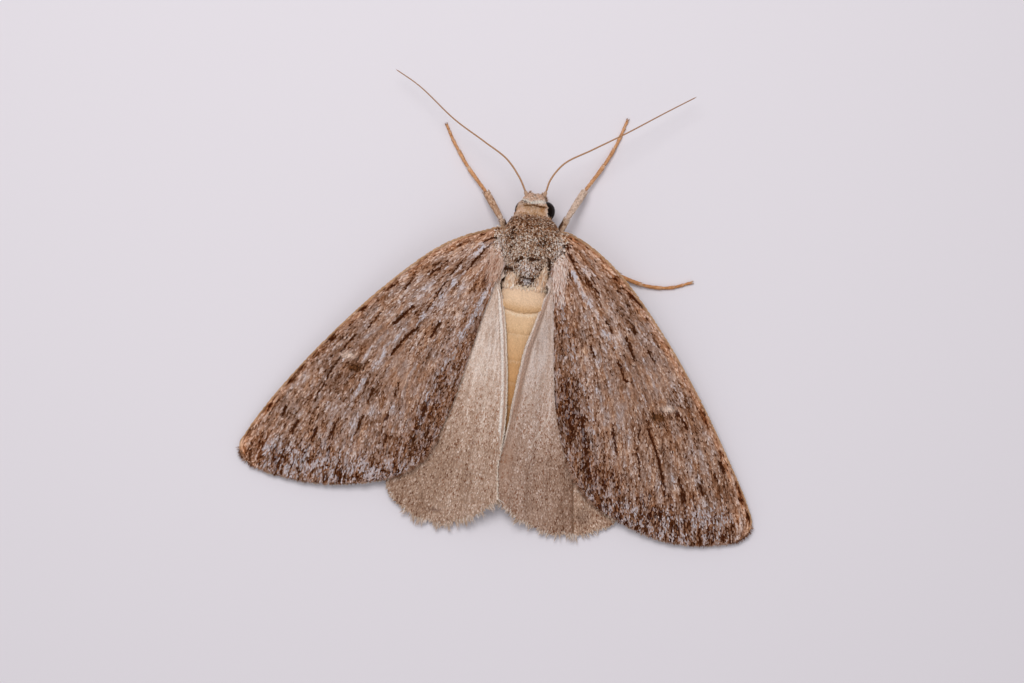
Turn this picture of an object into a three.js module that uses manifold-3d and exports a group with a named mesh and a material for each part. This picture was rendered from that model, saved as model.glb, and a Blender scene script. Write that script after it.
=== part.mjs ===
// A geometer moth at rest with its wings spread flat, life size, as a still display model.
//
// Frame: millimetres, +Z up. The moth faces -Y, so its left side is +X and "back" means +Y.
// Places are given as (out, back, up): out from the midline on either side, back from the wing
// hinges, up from the surface it stands on. The group is then set with its origin at the middle
// of its own footprint, on that surface.
//
// Neighbouring pieces are parted by a thin even gap: each piece is cut by the grown shape of the
// pieces that it meets.
import * as THREE from "three";
import { mergeVertices } from "three/addons/utils/BufferGeometryUtils.js";
import Module from "manifold-3d";

const wasm = await Module();
wasm.setup();

// ---- Driving dimensions, in millimetres ----------------------------------------------------
const PART_GAP = 0.06; // between two pieces that meet
const WING_THICKNESS = 0.5;
const ROOF_HEIGHT = 3.1; // of the layer between the two wings, over the middle of the hinges
const EDGE_HEIGHT = 0.2; // the same layer at the forewing's tip
const ROOF_REACH = { out: 23, back: 25 }; // the ellipse on which it comes down to that height
const ROOF_POWER = 1.25; // how early it comes down
const SOLE_RADIUS = 0.25; // of the feet
const SOLE_FLAT = 0.05; // how deep the feet are flattened where they stand
const LEFT = 1;
const RIGHT = -1;
const SIDES = [
  ["l", LEFT],
  ["r", RIGHT],
];

// ---- Materials ------------------------------------------------------------------------------
const finish = (color, roughness) =>
  new THREE.MeshStandardMaterial({ color, roughness, metalness: 0 });
const MATERIALS = {
  forewing: finish(0x8a6f5c, 0.85),
  hindwing: finish(0xc2a98f, 0.7),
  fur: finish(0x84756a, 0.95),
  collar: finish(0xcfa574, 0.9),
  abdomen: finish(0xdcb883, 0.8),
  eye: finish(0x120d0a, 0.12),
  leg: finish(0xb58a5e, 0.75),
  antenna: finish(0x9c7a5c, 0.7),
};

// ---- Solids ---------------------------------------------------------------------------------
/** A closed mesh from rings of points, each end closed on its own middle point. */
function closedLoft(rings, startPole, endPole) {
  const around = rings[0].length;
  const positions = [];
  const faces = [];
  rings.forEach((ring) => ring.forEach((p) => positions.push(p.x, p.y, p.z)));
  const start = rings.length * around;
  positions.push(startPole.x, startPole.y, startPole.z);
  positions.push(endPole.x, endPole.y, endPole.z);
  for (let k = 0; k < around; k++) {
    const next = (k + 1) % around;
    for (let i = 0; i + 1 < rings.length; i++) {
      const a = i * around + k;
      const b = i * around + next;
      faces.push(a, b, a + around, b, b + around, a + around);
    }
    const last = (rings.length - 1) * around;
    faces.push(start, next, k);
    faces.push(start + 1, last + k, last + next);
  }
  const geometry = new THREE.BufferGeometry();
  geometry.setAttribute("position", new THREE.Float32BufferAttribute(positions, 3));
  geometry.setIndex(faces);
  return geometry;
}

/** A three.js geometry as a manifold solid, turned right side out. */
function solidOf(geometry) {
  const bare = geometry.clone();
  bare.deleteAttribute("normal");
  bare.deleteAttribute("uv");
  const merged = mergeVertices(bare, 1e-5);
  const triVerts = new Uint32Array(merged.index.array);
  const vertProperties = new Float32Array(merged.attributes.position.array);
  const make = () => new wasm.Manifold(new wasm.Mesh({ numProp: 3, vertProperties, triVerts }));
  const solid = make();
  if (solid.volume() > 0) return solid;
  for (let i = 0; i < triVerts.length; i += 3)
    [triVerts[i + 1], triVerts[i + 2]] = [triVerts[i + 2], triVerts[i + 1]];
  return make();
}

/** A manifold solid as a three.js geometry. */
function geometryOf(solid) {
  const mesh = solid.getMesh();
  const points = [];
  for (let i = 0; i < mesh.numVert; i++)
    for (let k = 0; k < 3; k++) points.push(mesh.vertProperties[i * mesh.numProp + k]);
  const geometry = new THREE.BufferGeometry();
  geometry.setAttribute("position", new THREE.Float32BufferAttribute(points, 3));
  geometry.setIndex(Array.from(mesh.triVerts));
  geometry.computeVertexNormals();
  return geometry;
}

/** The largest body of a cut solid, without the slivers that a cut may leave. */
const largestBody = (solid) =>
  solid.decompose().reduce((best, body) => (body.volume() > best.volume() ? body : best));

const smoothStep = (low, high, value) => THREE.MathUtils.smoothstep(value, low, high);
const vector = (side, [out, back, up]) => new THREE.Vector3(side * out, back, up);

/** How far a rounded end, of the given share of the length, has opened at share s: 0 to 1. */
const dome = (s, share) => Math.sqrt(1 - (1 - Math.min(s / share, 1)) ** 2);

/**
 * A rounded body laid along the back direction. Its stations are [back, half width, low, high],
 * joined by a smooth curve, and its two ends close as domes. It stands off to the left by shift.
 */
function trunk(stations, { front = 0.3, rear = 0.3, rings = 10, around = 16, shift = 0 } = {}) {
  const sizes = new THREE.CatmullRomCurve3(
    stations.map(([back, , low, high]) => new THREE.Vector3(back, (low + high) / 2, (high - low) / 2)),
  );
  const widths = new THREE.CatmullRomCurve3(
    stations.map(([back, width]) => new THREE.Vector3(back, width, 0)),
  );
  return (grow = 0) => {
    const ringAt = (s) => {
      const place = sizes.getPoint(s);
      const open = dome(s, front) * dome(1 - s, rear);
      const width = widths.getPoint(s).y * open + grow;
      const height = place.z * open + grow;
      const back = place.x + grow * (2 * s - 1);
      return Array.from({ length: around }, (_, k) => {
        const angle = (2 * Math.PI * k) / around;
        const x = shift + width * Math.cos(angle);
        return new THREE.Vector3(x, back, place.y + height * Math.sin(angle));
      });
    };
    const loops = [];
    for (let i = 1; i < rings; i++) loops.push(ringAt((1 - Math.cos((Math.PI * i) / rings)) / 2));
    const pole = (s) => {
      const place = sizes.getPoint(s);
      return new THREE.Vector3(shift, place.x + grow * (2 * s - 1), place.y);
    };
    return solidOf(closedLoft(loops, pole(0), pole(1)));
  };
}

/** An ellipsoid with its middle and half sizes given as (out, back, up). */
function lobe(side, middle, halves, { segments = 14, turn = 0 } = {}) {
  return (grow = 0) => {
    const ball = new THREE.SphereGeometry(1, segments, Math.round(segments * 0.6));
    ball.scale(...halves.map((half) => half + grow));
    ball.rotateZ(turn * side);
    ball.translate(side * middle[0], middle[1], middle[2]);
    return solidOf(ball);
  };
}

/**
 * A limb swept along a smooth path of (out, back, up) places. radiusAt gives its radius at each
 * share of the path, and floor flattens what would reach below the ground.
 */
function limb(side, path, radiusAt, { steps = 8, around = 8, floor = false } = {}) {
  const curve = new THREE.CatmullRomCurve3(
    path.map((place) => vector(side, place)),
    false,
    "centripetal",
  );
  return (grow = 0) => {
    const rings = [];
    for (let i = 0; i <= steps; i++) {
      const s = i / steps;
      const middle = curve.getPointAt(s);
      const along = curve.getTangentAt(s);
      const across = new THREE.Vector3(0, 0, 1).cross(along).normalize();
      const above = along.clone().cross(across).normalize();
      const radius = radiusAt(s) + grow;
      rings.push(
        Array.from({ length: around }, (_, k) => {
          const angle = (2 * Math.PI * (k + 0.5)) / around;
          const point = middle
            .clone()
            .addScaledVector(across, radius * Math.cos(angle))
            .addScaledVector(above, radius * Math.sin(angle));
          if (floor) point.z = Math.max(point.z, 0);
          return point;
        }),
      );
    }
    const poleAt = (s) => {
      const point = curve.getPointAt(s);
      if (floor) point.z = Math.max(point.z, SOLE_RADIUS * 0.4);
      return point;
    };
    return solidOf(closedLoft(rings, poleAt(0), poleAt(1)));
  };
}

// ---- The piece list -------------------------------------------------------------------------
const moth = new THREE.Group();
const built = new Map();

/** Adds a piece, cut clear of the pieces already built that it meets. */
function addPiece(name, shape, material, meets = []) {
  let solid = shape(0);
  meets.forEach((other) => {
    solid = solid.subtract(built.get(other)(PART_GAP));
  });
  built.set(name, shape);
  const mesh = new THREE.Mesh(geometryOf(largestBody(solid)), material);
  mesh.name = name;
  moth.add(mesh);
}

// ---- Trunk: thorax, collar, head, abdomen ---------------------------------------------------
const THORAX = [
  [-1.25, 1.2, 1.25, 3.15],
  [-0.5, 1.62, 0.8, 3.75],
  [0.5, 1.8, 0.62, 4.0],
  [1.7, 1.7, 0.62, 3.9],
  [2.6, 1.45, 0.75, 3.6],
  [3.3, 1.05, 1.0, 3.1],
];
addPiece("thorax", trunk(THORAX, { front: 0.22, rear: 0.25, rings: 11, around: 16 }), MATERIALS.fur);

const HEAD_SHIFT = 0.08; // the head is turned a little to the left
const COLLAR = [
  [-1.8, 1.05, 1.25, 2.85],
  [-1.3, 1.3, 1.1, 3.15],
  [-0.6, 1.35, 1.0, 3.3],
];
addPiece(
  "collar",
  trunk(COLLAR, { front: 0.35, rear: 0.4, rings: 7, around: 14, shift: HEAD_SHIFT }),
  MATERIALS.collar,
  ["thorax"],
);

const EYE_RADIUS = 0.6;
const EYE_TALLNESS = 1.08;
const EYE_MIDDLE = { l: [0.63, -1.84, 1.86], r: [0.66, -1.85, 2.0] };
SIDES.forEach(([tag, side]) =>
  addPiece(
    `eye_${tag}`,
    lobe(side, EYE_MIDDLE[tag], [EYE_RADIUS, EYE_RADIUS, EYE_RADIUS * EYE_TALLNESS], {
      segments: 12,
    }),
    MATERIALS.eye,
    ["collar"],
  ),
);

const HEAD = [
  [-2.98, 0.66, 1.55, 2.95],
  [-2.5, 0.88, 1.2, 3.05],
  [-1.9, 1.0, 1.1, 3.0],
  [-1.45, 0.95, 1.15, 2.85],
];
addPiece(
  "head",
  trunk(HEAD, { front: 0.3, rear: 0.3, rings: 8, around: 14, shift: HEAD_SHIFT }),
  MATERIALS.fur,
  ["collar", "eye_l", "eye_r"],
);

// Seven segments: every second one is a little slimmer, so that the joints show as steps.
const ABDOMEN = [
  [2.5, 1.3, 0.85, 2.75],
  [4.2, 1.5, 0.5, 2.78],
  [6.6, 1.46, 0.4, 2.58],
  [9.0, 1.3, 0.35, 2.22],
  [11.4, 1.02, 0.3, 1.78],
  [13.2, 0.62, 0.3, 1.32],
  [14.6, 0.2, 0.4, 0.9],
];
const SEGMENT_ENDS = [2.5, 4.85, 6.3, 7.95, 9.4, 10.9, 12.5, 14.6];
const SEGMENT_STEP = 0.05; // how much slimmer every second segment is
const abdomenWhole = trunk(ABDOMEN, { front: 0.12, rear: 0.2, rings: 10, around: 14 });

/** The slice of a body between two places along the back direction. */
function sliceOf(whole, from, to, swell) {
  return (grow = 0) => {
    const slab = new THREE.BoxGeometry(12, to - from + 2 * grow, 12);
    slab.translate(0, (from + to) / 2, 0);
    return whole(swell + grow).intersect(solidOf(slab));
  };
}
const abdomenPieces = [];
for (let i = 0; i + 1 < SEGMENT_ENDS.length; i++) {
  const name = `abdomen_segment_${i + 1}`;
  const swell = i % 2 ? -SEGMENT_STEP : 0;
  addPiece(
    name,
    sliceOf(abdomenWhole, SEGMENT_ENDS[i], SEGMENT_ENDS[i + 1] - PART_GAP, swell),
    MATERIALS.abdomen,
    ["thorax"],
  );
  abdomenPieces.push(name);
}

// ---- Mouth parts and antennae ---------------------------------------------------------------
addPiece(
  "proboscis",
  lobe(LEFT, [0, -2.35, 0.98], [0.2, 0.4, 0.4], { segments: 10 }),
  MATERIALS.antenna,
  ["head", "collar"],
);
SIDES.forEach(([tag, side]) =>
  addPiece(
    `palp_${tag}`,
    limb(side, [[0.42, -1.95, 1.12], [0.48, -2.4, 1.12], [0.42, -2.72, 1.36]], (s) => 0.27 - 0.05 * s, {
      steps: 4,
    }),
    MATERIALS.fur,
    ["head", "proboscis"],
  ),
);

// The scape is the thick first joint, the flagellum the long thread beyond it.
const SCAPE_RADIUS = 0.27;
const ANTENNA_RADIUS = 0.25;
const ANTENNAE = {
  l: {
    scape: [[0.6, -2.45, 2.62], [0.8, -2.82, 2.82]],
    flagellum: [
      [0.86, -2.92, 2.87],
      [1.22, -3.52, 3.05],
      [2.2, -4.62, 3.15],
      [3.78, -5.55, 3.05],
      [5.84, -6.71, 2.75],
      [8.35, -8.56, 2.25],
      [10.0, -9.45, 1.85],
    ],
  },
  r: {
    scape: [[0.44, -2.6, 2.72], [0.53, -2.95, 2.9]],
    flagellum: [
      [0.555, -3.05, 2.95],
      [0.7, -3.68, 3.12],
      [1.43, -4.81, 3.22],
      [3.05, -5.91, 3.1],
      [5.08, -7.27, 2.8],
      [7.5, -9.02, 2.3],
      [9.25, -10.25, 1.9],
    ],
  },
};
SIDES.forEach(([tag, side]) => {
  const { scape, flagellum } = ANTENNAE[tag];
  const reach = vector(side, scape[1]).sub(vector(side, scape[0])).normalize();
  const start = vector(side, scape[1]).addScaledVector(reach, PART_GAP);
  addPiece(`scape_${tag}`, limb(side, scape, () => SCAPE_RADIUS, { steps: 2 }), MATERIALS.antenna, [
    "head",
  ]);
  addPiece(
    `flagellum_${tag}`,
    limb(side, [[side * start.x, start.y, start.z], ...flagellum.slice(1)], () => ANTENNA_RADIUS, {
      steps: 20,
      around: 6,
    }),
    MATERIALS.antenna,
    [`scape_${tag}`, "head"],
  );
});

// ---- Wings ----------------------------------------------------------------------------------
// The tegula is the scaly lobe that covers each forewing's hinge.
SIDES.forEach(([tag, side]) =>
  addPiece(
    `tegula_${tag}`,
    lobe(side, [1.5, 0.75, 3.08], [0.55, 1.55, 0.6], { segments: 12, turn: -0.12 }),
    MATERIALS.fur,
    ["thorax", "collar"],
  ),
);

/** Height of the layer between the forewing and the hindwing. */
function roof(out, back) {
  const share = Math.hypot(out / ROOF_REACH.out, back / ROOF_REACH.back);
  return EDGE_HEIGHT + (ROOF_HEIGHT - EDGE_HEIGHT) * Math.max(1 - share, 0) ** ROOF_POWER;
}

// Each outline has two edges that start at the hinge: the front one runs round the tip, the
// inner one round the rear corner. The outer margin joins their ends and bulges backwards. The
// left wings are spread a little wider than the right ones.
const FOREWING = {
  l: {
    front: [
      [0.9, 0.1], [2.05, -0.3], [3.0, 0.02], [4.35, 0.58], [5.95, 1.58], [8.97, 4.45],
      [12.35, 8.45], [15.0, 12.2], [16.47, 14.75], [16.83, 15.6], [16.6, 16.35], [15.6, 17.0],
    ],
    inner: [
      [0.9, 1.5], [1.6, 2.4], [2.25, 4.6], [2.85, 7.6], [3.5, 10.8], [4.2, 13.2],
      [5.1, 15.1], [6.3, 16.08], [7.5, 16.6],
    ],
    bulge: 0.66,
  },
  r: {
    front: [
      [0.9, 0.1], [2.05, -0.5], [3.1, -0.2], [4.5, 0.58], [6.0, 1.72], [8.62, 4.45],
      [11.77, 8.45], [14.5, 12.6], [16.08, 15.3], [16.48, 16.35], [16.25, 17.1], [15.4, 17.75],
    ],
    inner: [
      [0.9, 1.5], [1.6, 2.4], [2.1, 5.1], [2.55, 8.2], [3.05, 10.9], [3.78, 13.1],
      [4.8, 15.0], [6.2, 16.35], [7.7, 17.1],
    ],
    bulge: 0.85,
  },
};
const HINDWING = {
  l: {
    front: [
      [0.9, 1.3], [3.2, 3.2], [5.6, 8.0], [6.75, 12.6], [7.05, 15.2], [7.0, 16.7], [6.5, 17.6],
    ],
    inner: [
      [0.9, 2.6], [1.62, 3.0], [1.2, 5.2], [0.72, 8.9], [0.36, 11.8], [0.16, 14.0],
      [0.06, 15.6], [0.05, 16.95],
    ],
    bulge: 1.5,
  },
  r: {
    front: [
      [0.9, 1.3], [3.2, 3.2], [5.6, 8.0], [7.1, 12.6], [7.6, 15.4], [7.55, 16.8], [7.1, 17.6],
    ],
    inner: [
      [0.9, 2.6], [1.5, 3.1], [0.95, 5.4], [0.47, 8.9], [0.12, 11.8], [0.05, 14.0],
      [0.05, 15.6], [0.05, 16.9],
    ],
    bulge: 1.3,
  },
};
const WING_ROWS = 17;
const WING_COLUMNS = 8;

/** The wing's plan: the place at share u from hinge to margin and share v from front to rear. */
function wingPlan({ front, inner, bulge }) {
  const curve = (edge) =>
    new THREE.CatmullRomCurve3(
      edge.map(([out, back]) => new THREE.Vector3(out, back, 0)),
      false,
      "centripetal",
    );
  const [frontCurve, innerCurve] = [curve(front), curve(inner)];
  return (u, v) => {
    const place = frontCurve.getPointAt(u).lerp(innerCurve.getPointAt(u), v);
    const swell = bulge * Math.sin(Math.PI * v) ** 0.9 * smoothStep(0.75, 1, u);
    return [place.x, place.y + swell];
  };
}

/** A closed sheet over a wing's plan, between two heights given at each place. */
function wingSheet(side, outline, lowAt, highAt) {
  const plan = wingPlan(outline);
  return () => {
    const top = [];
    const bottom = [];
    for (let i = 0; i <= WING_ROWS; i++) {
      const u = i / WING_ROWS;
      top.push([]);
      bottom.push([]);
      for (let j = 0; j <= WING_COLUMNS; j++) {
        const v = j / WING_COLUMNS;
        const [out, back] = plan(u, v);
        top[i].push(vector(side, [out, back, highAt(out, back, u, v)]));
        bottom[i].push(vector(side, [out, back, lowAt(out, back, u, v)]));
      }
    }
    const triangles = [];
    const quad = (a, b, c, d) => triangles.push(a, b, c, a, c, d);
    for (let i = 0; i < WING_ROWS; i++)
      for (let j = 0; j < WING_COLUMNS; j++) {
        quad(top[i][j], top[i + 1][j], top[i + 1][j + 1], top[i][j + 1]);
        quad(bottom[i][j], bottom[i][j + 1], bottom[i + 1][j + 1], bottom[i + 1][j]);
      }
    for (let i = 0; i < WING_ROWS; i++) {
      quad(top[i][0], bottom[i][0], bottom[i + 1][0], top[i + 1][0]);
      const last = WING_COLUMNS;
      quad(top[i][last], top[i + 1][last], bottom[i + 1][last], bottom[i][last]);
    }
    for (let j = 0; j < WING_COLUMNS; j++) {
      quad(top[0][j], top[0][j + 1], bottom[0][j + 1], bottom[0][j]);
      const last = WING_ROWS;
      quad(top[last][j], bottom[last][j], bottom[last][j + 1], top[last][j + 1]);
    }
    return solidOf(new THREE.BufferGeometry().setFromPoints(triangles));
  };
}

// The hindwings ride up over the abdomen, and sag in a fold beside it towards the rear.
const ABDOMEN_LIFT = 0.72;
const FOLD_SAG = 0.06;
const hindwingLift = (u, v) =>
  ABDOMEN_LIFT * smoothStep(0.6, 0.95, v) * smoothStep(0.1, 0.3, u) -
  FOLD_SAG * Math.sin(Math.PI * Math.min(v / 0.8, 1)) ** 2 * smoothStep(0.45, 1, u);

SIDES.forEach(([tag, side]) => {
  const forewingLow = (out, back) => roof(out, back) + PART_GAP / 2;
  addPiece(
    `forewing_${tag}`,
    wingSheet(side, FOREWING[tag], forewingLow, (out, back) => forewingLow(out, back) + WING_THICKNESS),
    MATERIALS.forewing,
    ["thorax", `tegula_${tag}`, "collar"],
  );
  const hindwingHigh = (out, back, u, v) => roof(out, back) - PART_GAP / 2 + hindwingLift(u, v);
  addPiece(
    `hindwing_${tag}`,
    wingSheet(
      side,
      HINDWING[tag],
      (out, back, u, v) => hindwingHigh(out, back, u, v) - WING_THICKNESS,
      hindwingHigh,
    ),
    MATERIALS.hindwing,
    ["thorax", `tegula_${tag}`, ...abdomenPieces],
  );
});

// ---- Legs -----------------------------------------------------------------------------------
// Each leg: the hip under the thorax, the knee, the ankle, and the foot's path along the ground.
const GROUND = SOLE_RADIUS - SOLE_FLAT;
const LEGS = {
  fore_l: {
    hip: [[0.62, -0.1, 1.25], [1.05, 0.85, 0.95]], knee: [2.28, -1.35, 1.8], ankle: [4.0, -3.25, 0.72],
    foot: [[5.25, -4.77, 0.32], [5.93, -5.69, GROUND], [6.47, -6.6, GROUND]],
  },
  fore_r: {
    hip: [[0.62, -0.1, 1.25], [1.2, 0.85, 0.95]], knee: [2.32, -1.9, 1.8], ankle: [3.42, -4.05, 0.72],
    foot: [[4.4, -6.03, 0.32], [4.82, -7.14, GROUND], [5.13, -8.31, GROUND]],
  },
  mid_l: {
    hip: [[0.6, 1.3, 1.2], [1.0, 1.95, 0.9]], knee: [3.0, 1.2, 1.55], ankle: [5.2, 2.75, 0.65],
    foot: [[6.5, 3.9, 0.3], [7.9, 5.2, GROUND], [9.0, 6.5, GROUND]],
  },
  mid_r: {
    hip: [[0.6, 1.3, 1.2], [1.0, 1.95, 0.9]], knee: [3.1, 0.85, 1.55], ankle: [5.5, 1.55, 0.72],
    foot: [[7.63, 2.08, 0.3], [9.22, 2.02, GROUND], [10.6, 1.5, GROUND]],
  },
  hind_l: {
    hip: [[0.55, 2.2, 1.1], [0.95, 2.85, 0.85]], knee: [2.6, 4.2, 1.35], ankle: [3.6, 7.8, 0.55],
    foot: [[4.1, 10.0, 0.28], [4.5, 12.0, GROUND], [4.8, 13.4, GROUND]],
  },
  hind_r: {
    hip: [[0.55, 2.2, 1.1], [0.95, 2.85, 0.85]], knee: [2.7, 4.1, 1.35], ankle: [3.9, 7.6, 0.55],
    foot: [[4.6, 9.7, 0.28], [5.2, 11.6, GROUND], [5.6, 12.9, GROUND]],
  },
};
const FEMUR_RADIUS = 0.32;
const TIBIA_RADIUS = 0.3;
const FOOT_JOINTS = 5;

/** A place moved towards another by the gap between pieces. */
function parted(from, to) {
  const step = new THREE.Vector3(...to).sub(new THREE.Vector3(...from)).setLength(PART_GAP);
  return [from[0] + step.x, from[1] + step.y, from[2] + step.z];
}

Object.entries(LEGS).forEach(([tag, { hip, knee, ankle, foot }]) => {
  const side = tag.endsWith("l") ? LEFT : RIGHT;
  const [femur, tibia, tarsus] = ["femur", "tibia", "tarsus"].map((joint) => `${joint}_${tag}`);
  const coxa = limb(side, hip, () => FEMUR_RADIUS, { steps: 2 });
  const thighRadius = (s) => FEMUR_RADIUS * (0.85 + 0.2 * Math.sin(Math.PI * s));
  const thigh = limb(side, [hip[1], knee], thighRadius, { steps: 4 });
  addPiece(femur, (grow = 0) => coxa(grow).add(thigh(grow)), MATERIALS.leg, [
    "thorax",
    "collar",
    "abdomen_segment_1",
  ]);
  addPiece(
    tibia,
    limb(side, [parted(knee, ankle), ankle], (s) => TIBIA_RADIUS * (0.85 + 0.2 * s), { steps: 3 }),
    MATERIALS.leg,
    [femur],
  );
  const pinch = (s) => 1 - 0.12 * Math.abs(Math.cos(Math.PI * FOOT_JOINTS * s)) ** 6;
  addPiece(
    tarsus,
    limb(side, [parted(ankle, foot[0]), ...foot], (s) => SOLE_RADIUS * pinch(s), {
      steps: 2 * FOOT_JOINTS,
      floor: true,
    }),
    MATERIALS.leg,
    [tibia],
  );
});

// ---- The origin: the middle of the footprint, on the ground ---------------------------------
const extent = new THREE.Box3().setFromObject(moth, true);
const middle = extent.getCenter(new THREE.Vector3());
moth.position.set(-middle.x, -middle.y, -extent.min.z);

export default moth;
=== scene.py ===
"""A geometer moth at rest with its wings spread, life size.

Sizes are in millimetres in the moth's own frame: x towards its left side, y back from the wing
hinges, z up from the ground. "out" is the distance from the midline on either side. Every mesh is
turned into metres in the shared frame as it is made.
"""

import itertools
import logging
import math
from dataclasses import dataclass, field, replace
from enum import Enum

import bpy
import numpy as np
from mathutils import Matrix, Vector


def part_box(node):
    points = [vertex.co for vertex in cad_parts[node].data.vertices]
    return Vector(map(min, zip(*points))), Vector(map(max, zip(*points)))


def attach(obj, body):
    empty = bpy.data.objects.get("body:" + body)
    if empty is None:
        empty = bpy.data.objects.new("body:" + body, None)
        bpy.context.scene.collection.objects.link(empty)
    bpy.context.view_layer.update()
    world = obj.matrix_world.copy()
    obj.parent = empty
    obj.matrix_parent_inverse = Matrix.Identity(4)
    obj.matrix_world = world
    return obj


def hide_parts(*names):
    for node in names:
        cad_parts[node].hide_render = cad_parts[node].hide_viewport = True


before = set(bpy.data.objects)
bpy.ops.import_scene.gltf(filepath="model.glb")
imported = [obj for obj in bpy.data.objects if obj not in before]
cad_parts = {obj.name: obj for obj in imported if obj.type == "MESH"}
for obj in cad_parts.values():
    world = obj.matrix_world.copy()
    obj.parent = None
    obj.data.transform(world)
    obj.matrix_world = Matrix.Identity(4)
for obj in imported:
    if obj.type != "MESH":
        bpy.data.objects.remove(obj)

LOG = logging.getLogger("moth")
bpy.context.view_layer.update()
MM = 0.001
THORAX_FRONT = -1.25  # where the thorax begins, behind the hinges
THORAX_LOW, THORAX_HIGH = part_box("thorax")
MIDLINE = (THORAX_LOW.x + THORAX_HIGH.x) / 2 / MM  # the body's middle in the shared frame
HINGE_BACK = THORAX_LOW.y / MM - THORAX_FRONT  # the hinges' place in the shared frame
BODY = "root"
ROOT_PATCH = 0.003  # width of a tuft's patch on the unwrap of its skin
UPWARDS = (0.0, 0.0, 1.0)
ENDS = np.array([0.0, 1.0])  # the two ends of a length, as shares of it
Array = np.ndarray
Piece = bpy.types.Object
Socket = bpy.types.NodeSocket


class Side(Enum):
    """The moth's two sides, as the sign of x."""

    LEFT = 1
    RIGHT = -1

    @property
    def tag(self) -> str:
        """The ending of the names of this side's pieces."""
        return "l" if self is Side.LEFT else "r"


# ---- Numbers ----
def smooth(low: float, high: float, value: Array) -> Array:
    """A smooth step from 0 at low to 1 at high."""
    share = np.clip((np.asarray(value, float) - low) / (high - low), 0, 1)
    return share * share * (3 - 2 * share)


def bell(value: Array, middle: float, width: float) -> Array:
    """A bell curve of height 1."""
    return np.exp(-(((np.asarray(value, float) - middle) / width) ** 2))


def spot(across: Array, along: Array, middle: tuple, size: tuple) -> Array:
    """A soft spot of height 1 at a place, with its two half sizes."""
    return np.exp(-(((across - middle[0]) / size[0]) ** 2) - ((along - middle[1]) / size[1]) ** 2)


def unit(vectors: Array) -> Array:
    """The vectors at length one."""
    return vectors / np.maximum(np.linalg.norm(vectors, axis=-1, keepdims=True), 1e-12)


def capped(values: Array) -> Array:
    """The values held between 0 and 1."""
    return np.clip(values, 0, 1)


def blend(first: Array, second: Array, share: Array) -> Array:
    """Colours between two colours, by a share for each place."""
    share = capped(np.asarray(share, float))[..., None]
    return np.asarray(first, float) * (1 - share) + np.asarray(second, float) * share


def ramp(colours: list, amount: Array) -> Array:
    """Colours along an evenly spaced ramp, for amounts from 0 to 1."""
    stops, table = np.linspace(0, 1, len(colours)), np.array(colours, float)
    return np.stack([np.interp(capped(amount), stops, table[:, k]) for k in range(3)], axis=-1)


def flecked(colour: tuple, change: Array) -> Array:
    """One colour made lighter by a share for each place."""
    return np.array(colour) * (1 + change)[:, None]


def tinged(colours: Array, amount: Array, change: tuple) -> Array:
    """Colours with their red, green and blue changed, by an amount for each place."""
    return colours * (1 + amount[:, None] * np.array(change))


def draws(seed: int) -> np.random.Generator:
    """Chance values that are the same on every run."""
    return np.random.default_rng(seed)


def circle(count: int) -> Array:
    """Even angles round a circle."""
    return np.linspace(0, 2 * np.pi, count, endpoint=False)


def crosswise(along: Array) -> tuple:
    """The level directions square to some others, and the ones above both."""
    across = unit(np.cross(UPWARDS, along))
    return across, np.cross(along, across)


def hoops(middle: Array, across: Array, above: Array, radius: Array, around: int) -> Array:
    """Rings of points.

    Args:
        middle: The middle of each ring.
        across: A direction in each ring's plane.
        above: The direction in that plane square to the first.
        radius: The radius of each ring.
        around: How many points a ring has.

    Returns:
        The points, ring after ring.
    """
    angle = circle(around)[None, :, None]
    spread = across[:, None] * np.cos(angle) + above[:, None] * np.sin(angle)
    return (middle[:, None] + spread * radius[:, None, None]).reshape(-1, 3)


class Noise:
    """Smooth random values in space, from about -1 to 1 and the same on every run."""

    SIZE = 48

    def __init__(self, seed: int) -> None:
        """Fills the lattice."""
        self.lattice = draws(seed).uniform(-1, 1, (self.SIZE,) * 3)

    def at(self, pitch: tuple, *coordinates: Array) -> Array:
        """The values at places given by two or three coordinates.

        Args:
            pitch: The grain's size along each coordinate.
            coordinates: The coordinates, arrays of one length.

        Returns:
            One value for each place.
        """
        places = np.zeros((len(coordinates[0]), 3))
        for axis, values in enumerate(coordinates):
            places[:, axis] = values / pitch[axis]
        cell = np.floor(places).astype(int)
        share = places - cell
        share = share * share * (3 - 2 * share)
        total = np.zeros(len(places))
        for corner in itertools.product((0, 1), repeat=3):
            weight = np.prod(np.where(corner, share, 1 - share), axis=1)
            i, j, k = ((cell + corner) % self.SIZE).T
            total += weight * self.lattice[i, j, k]
        return total * 1.6


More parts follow.
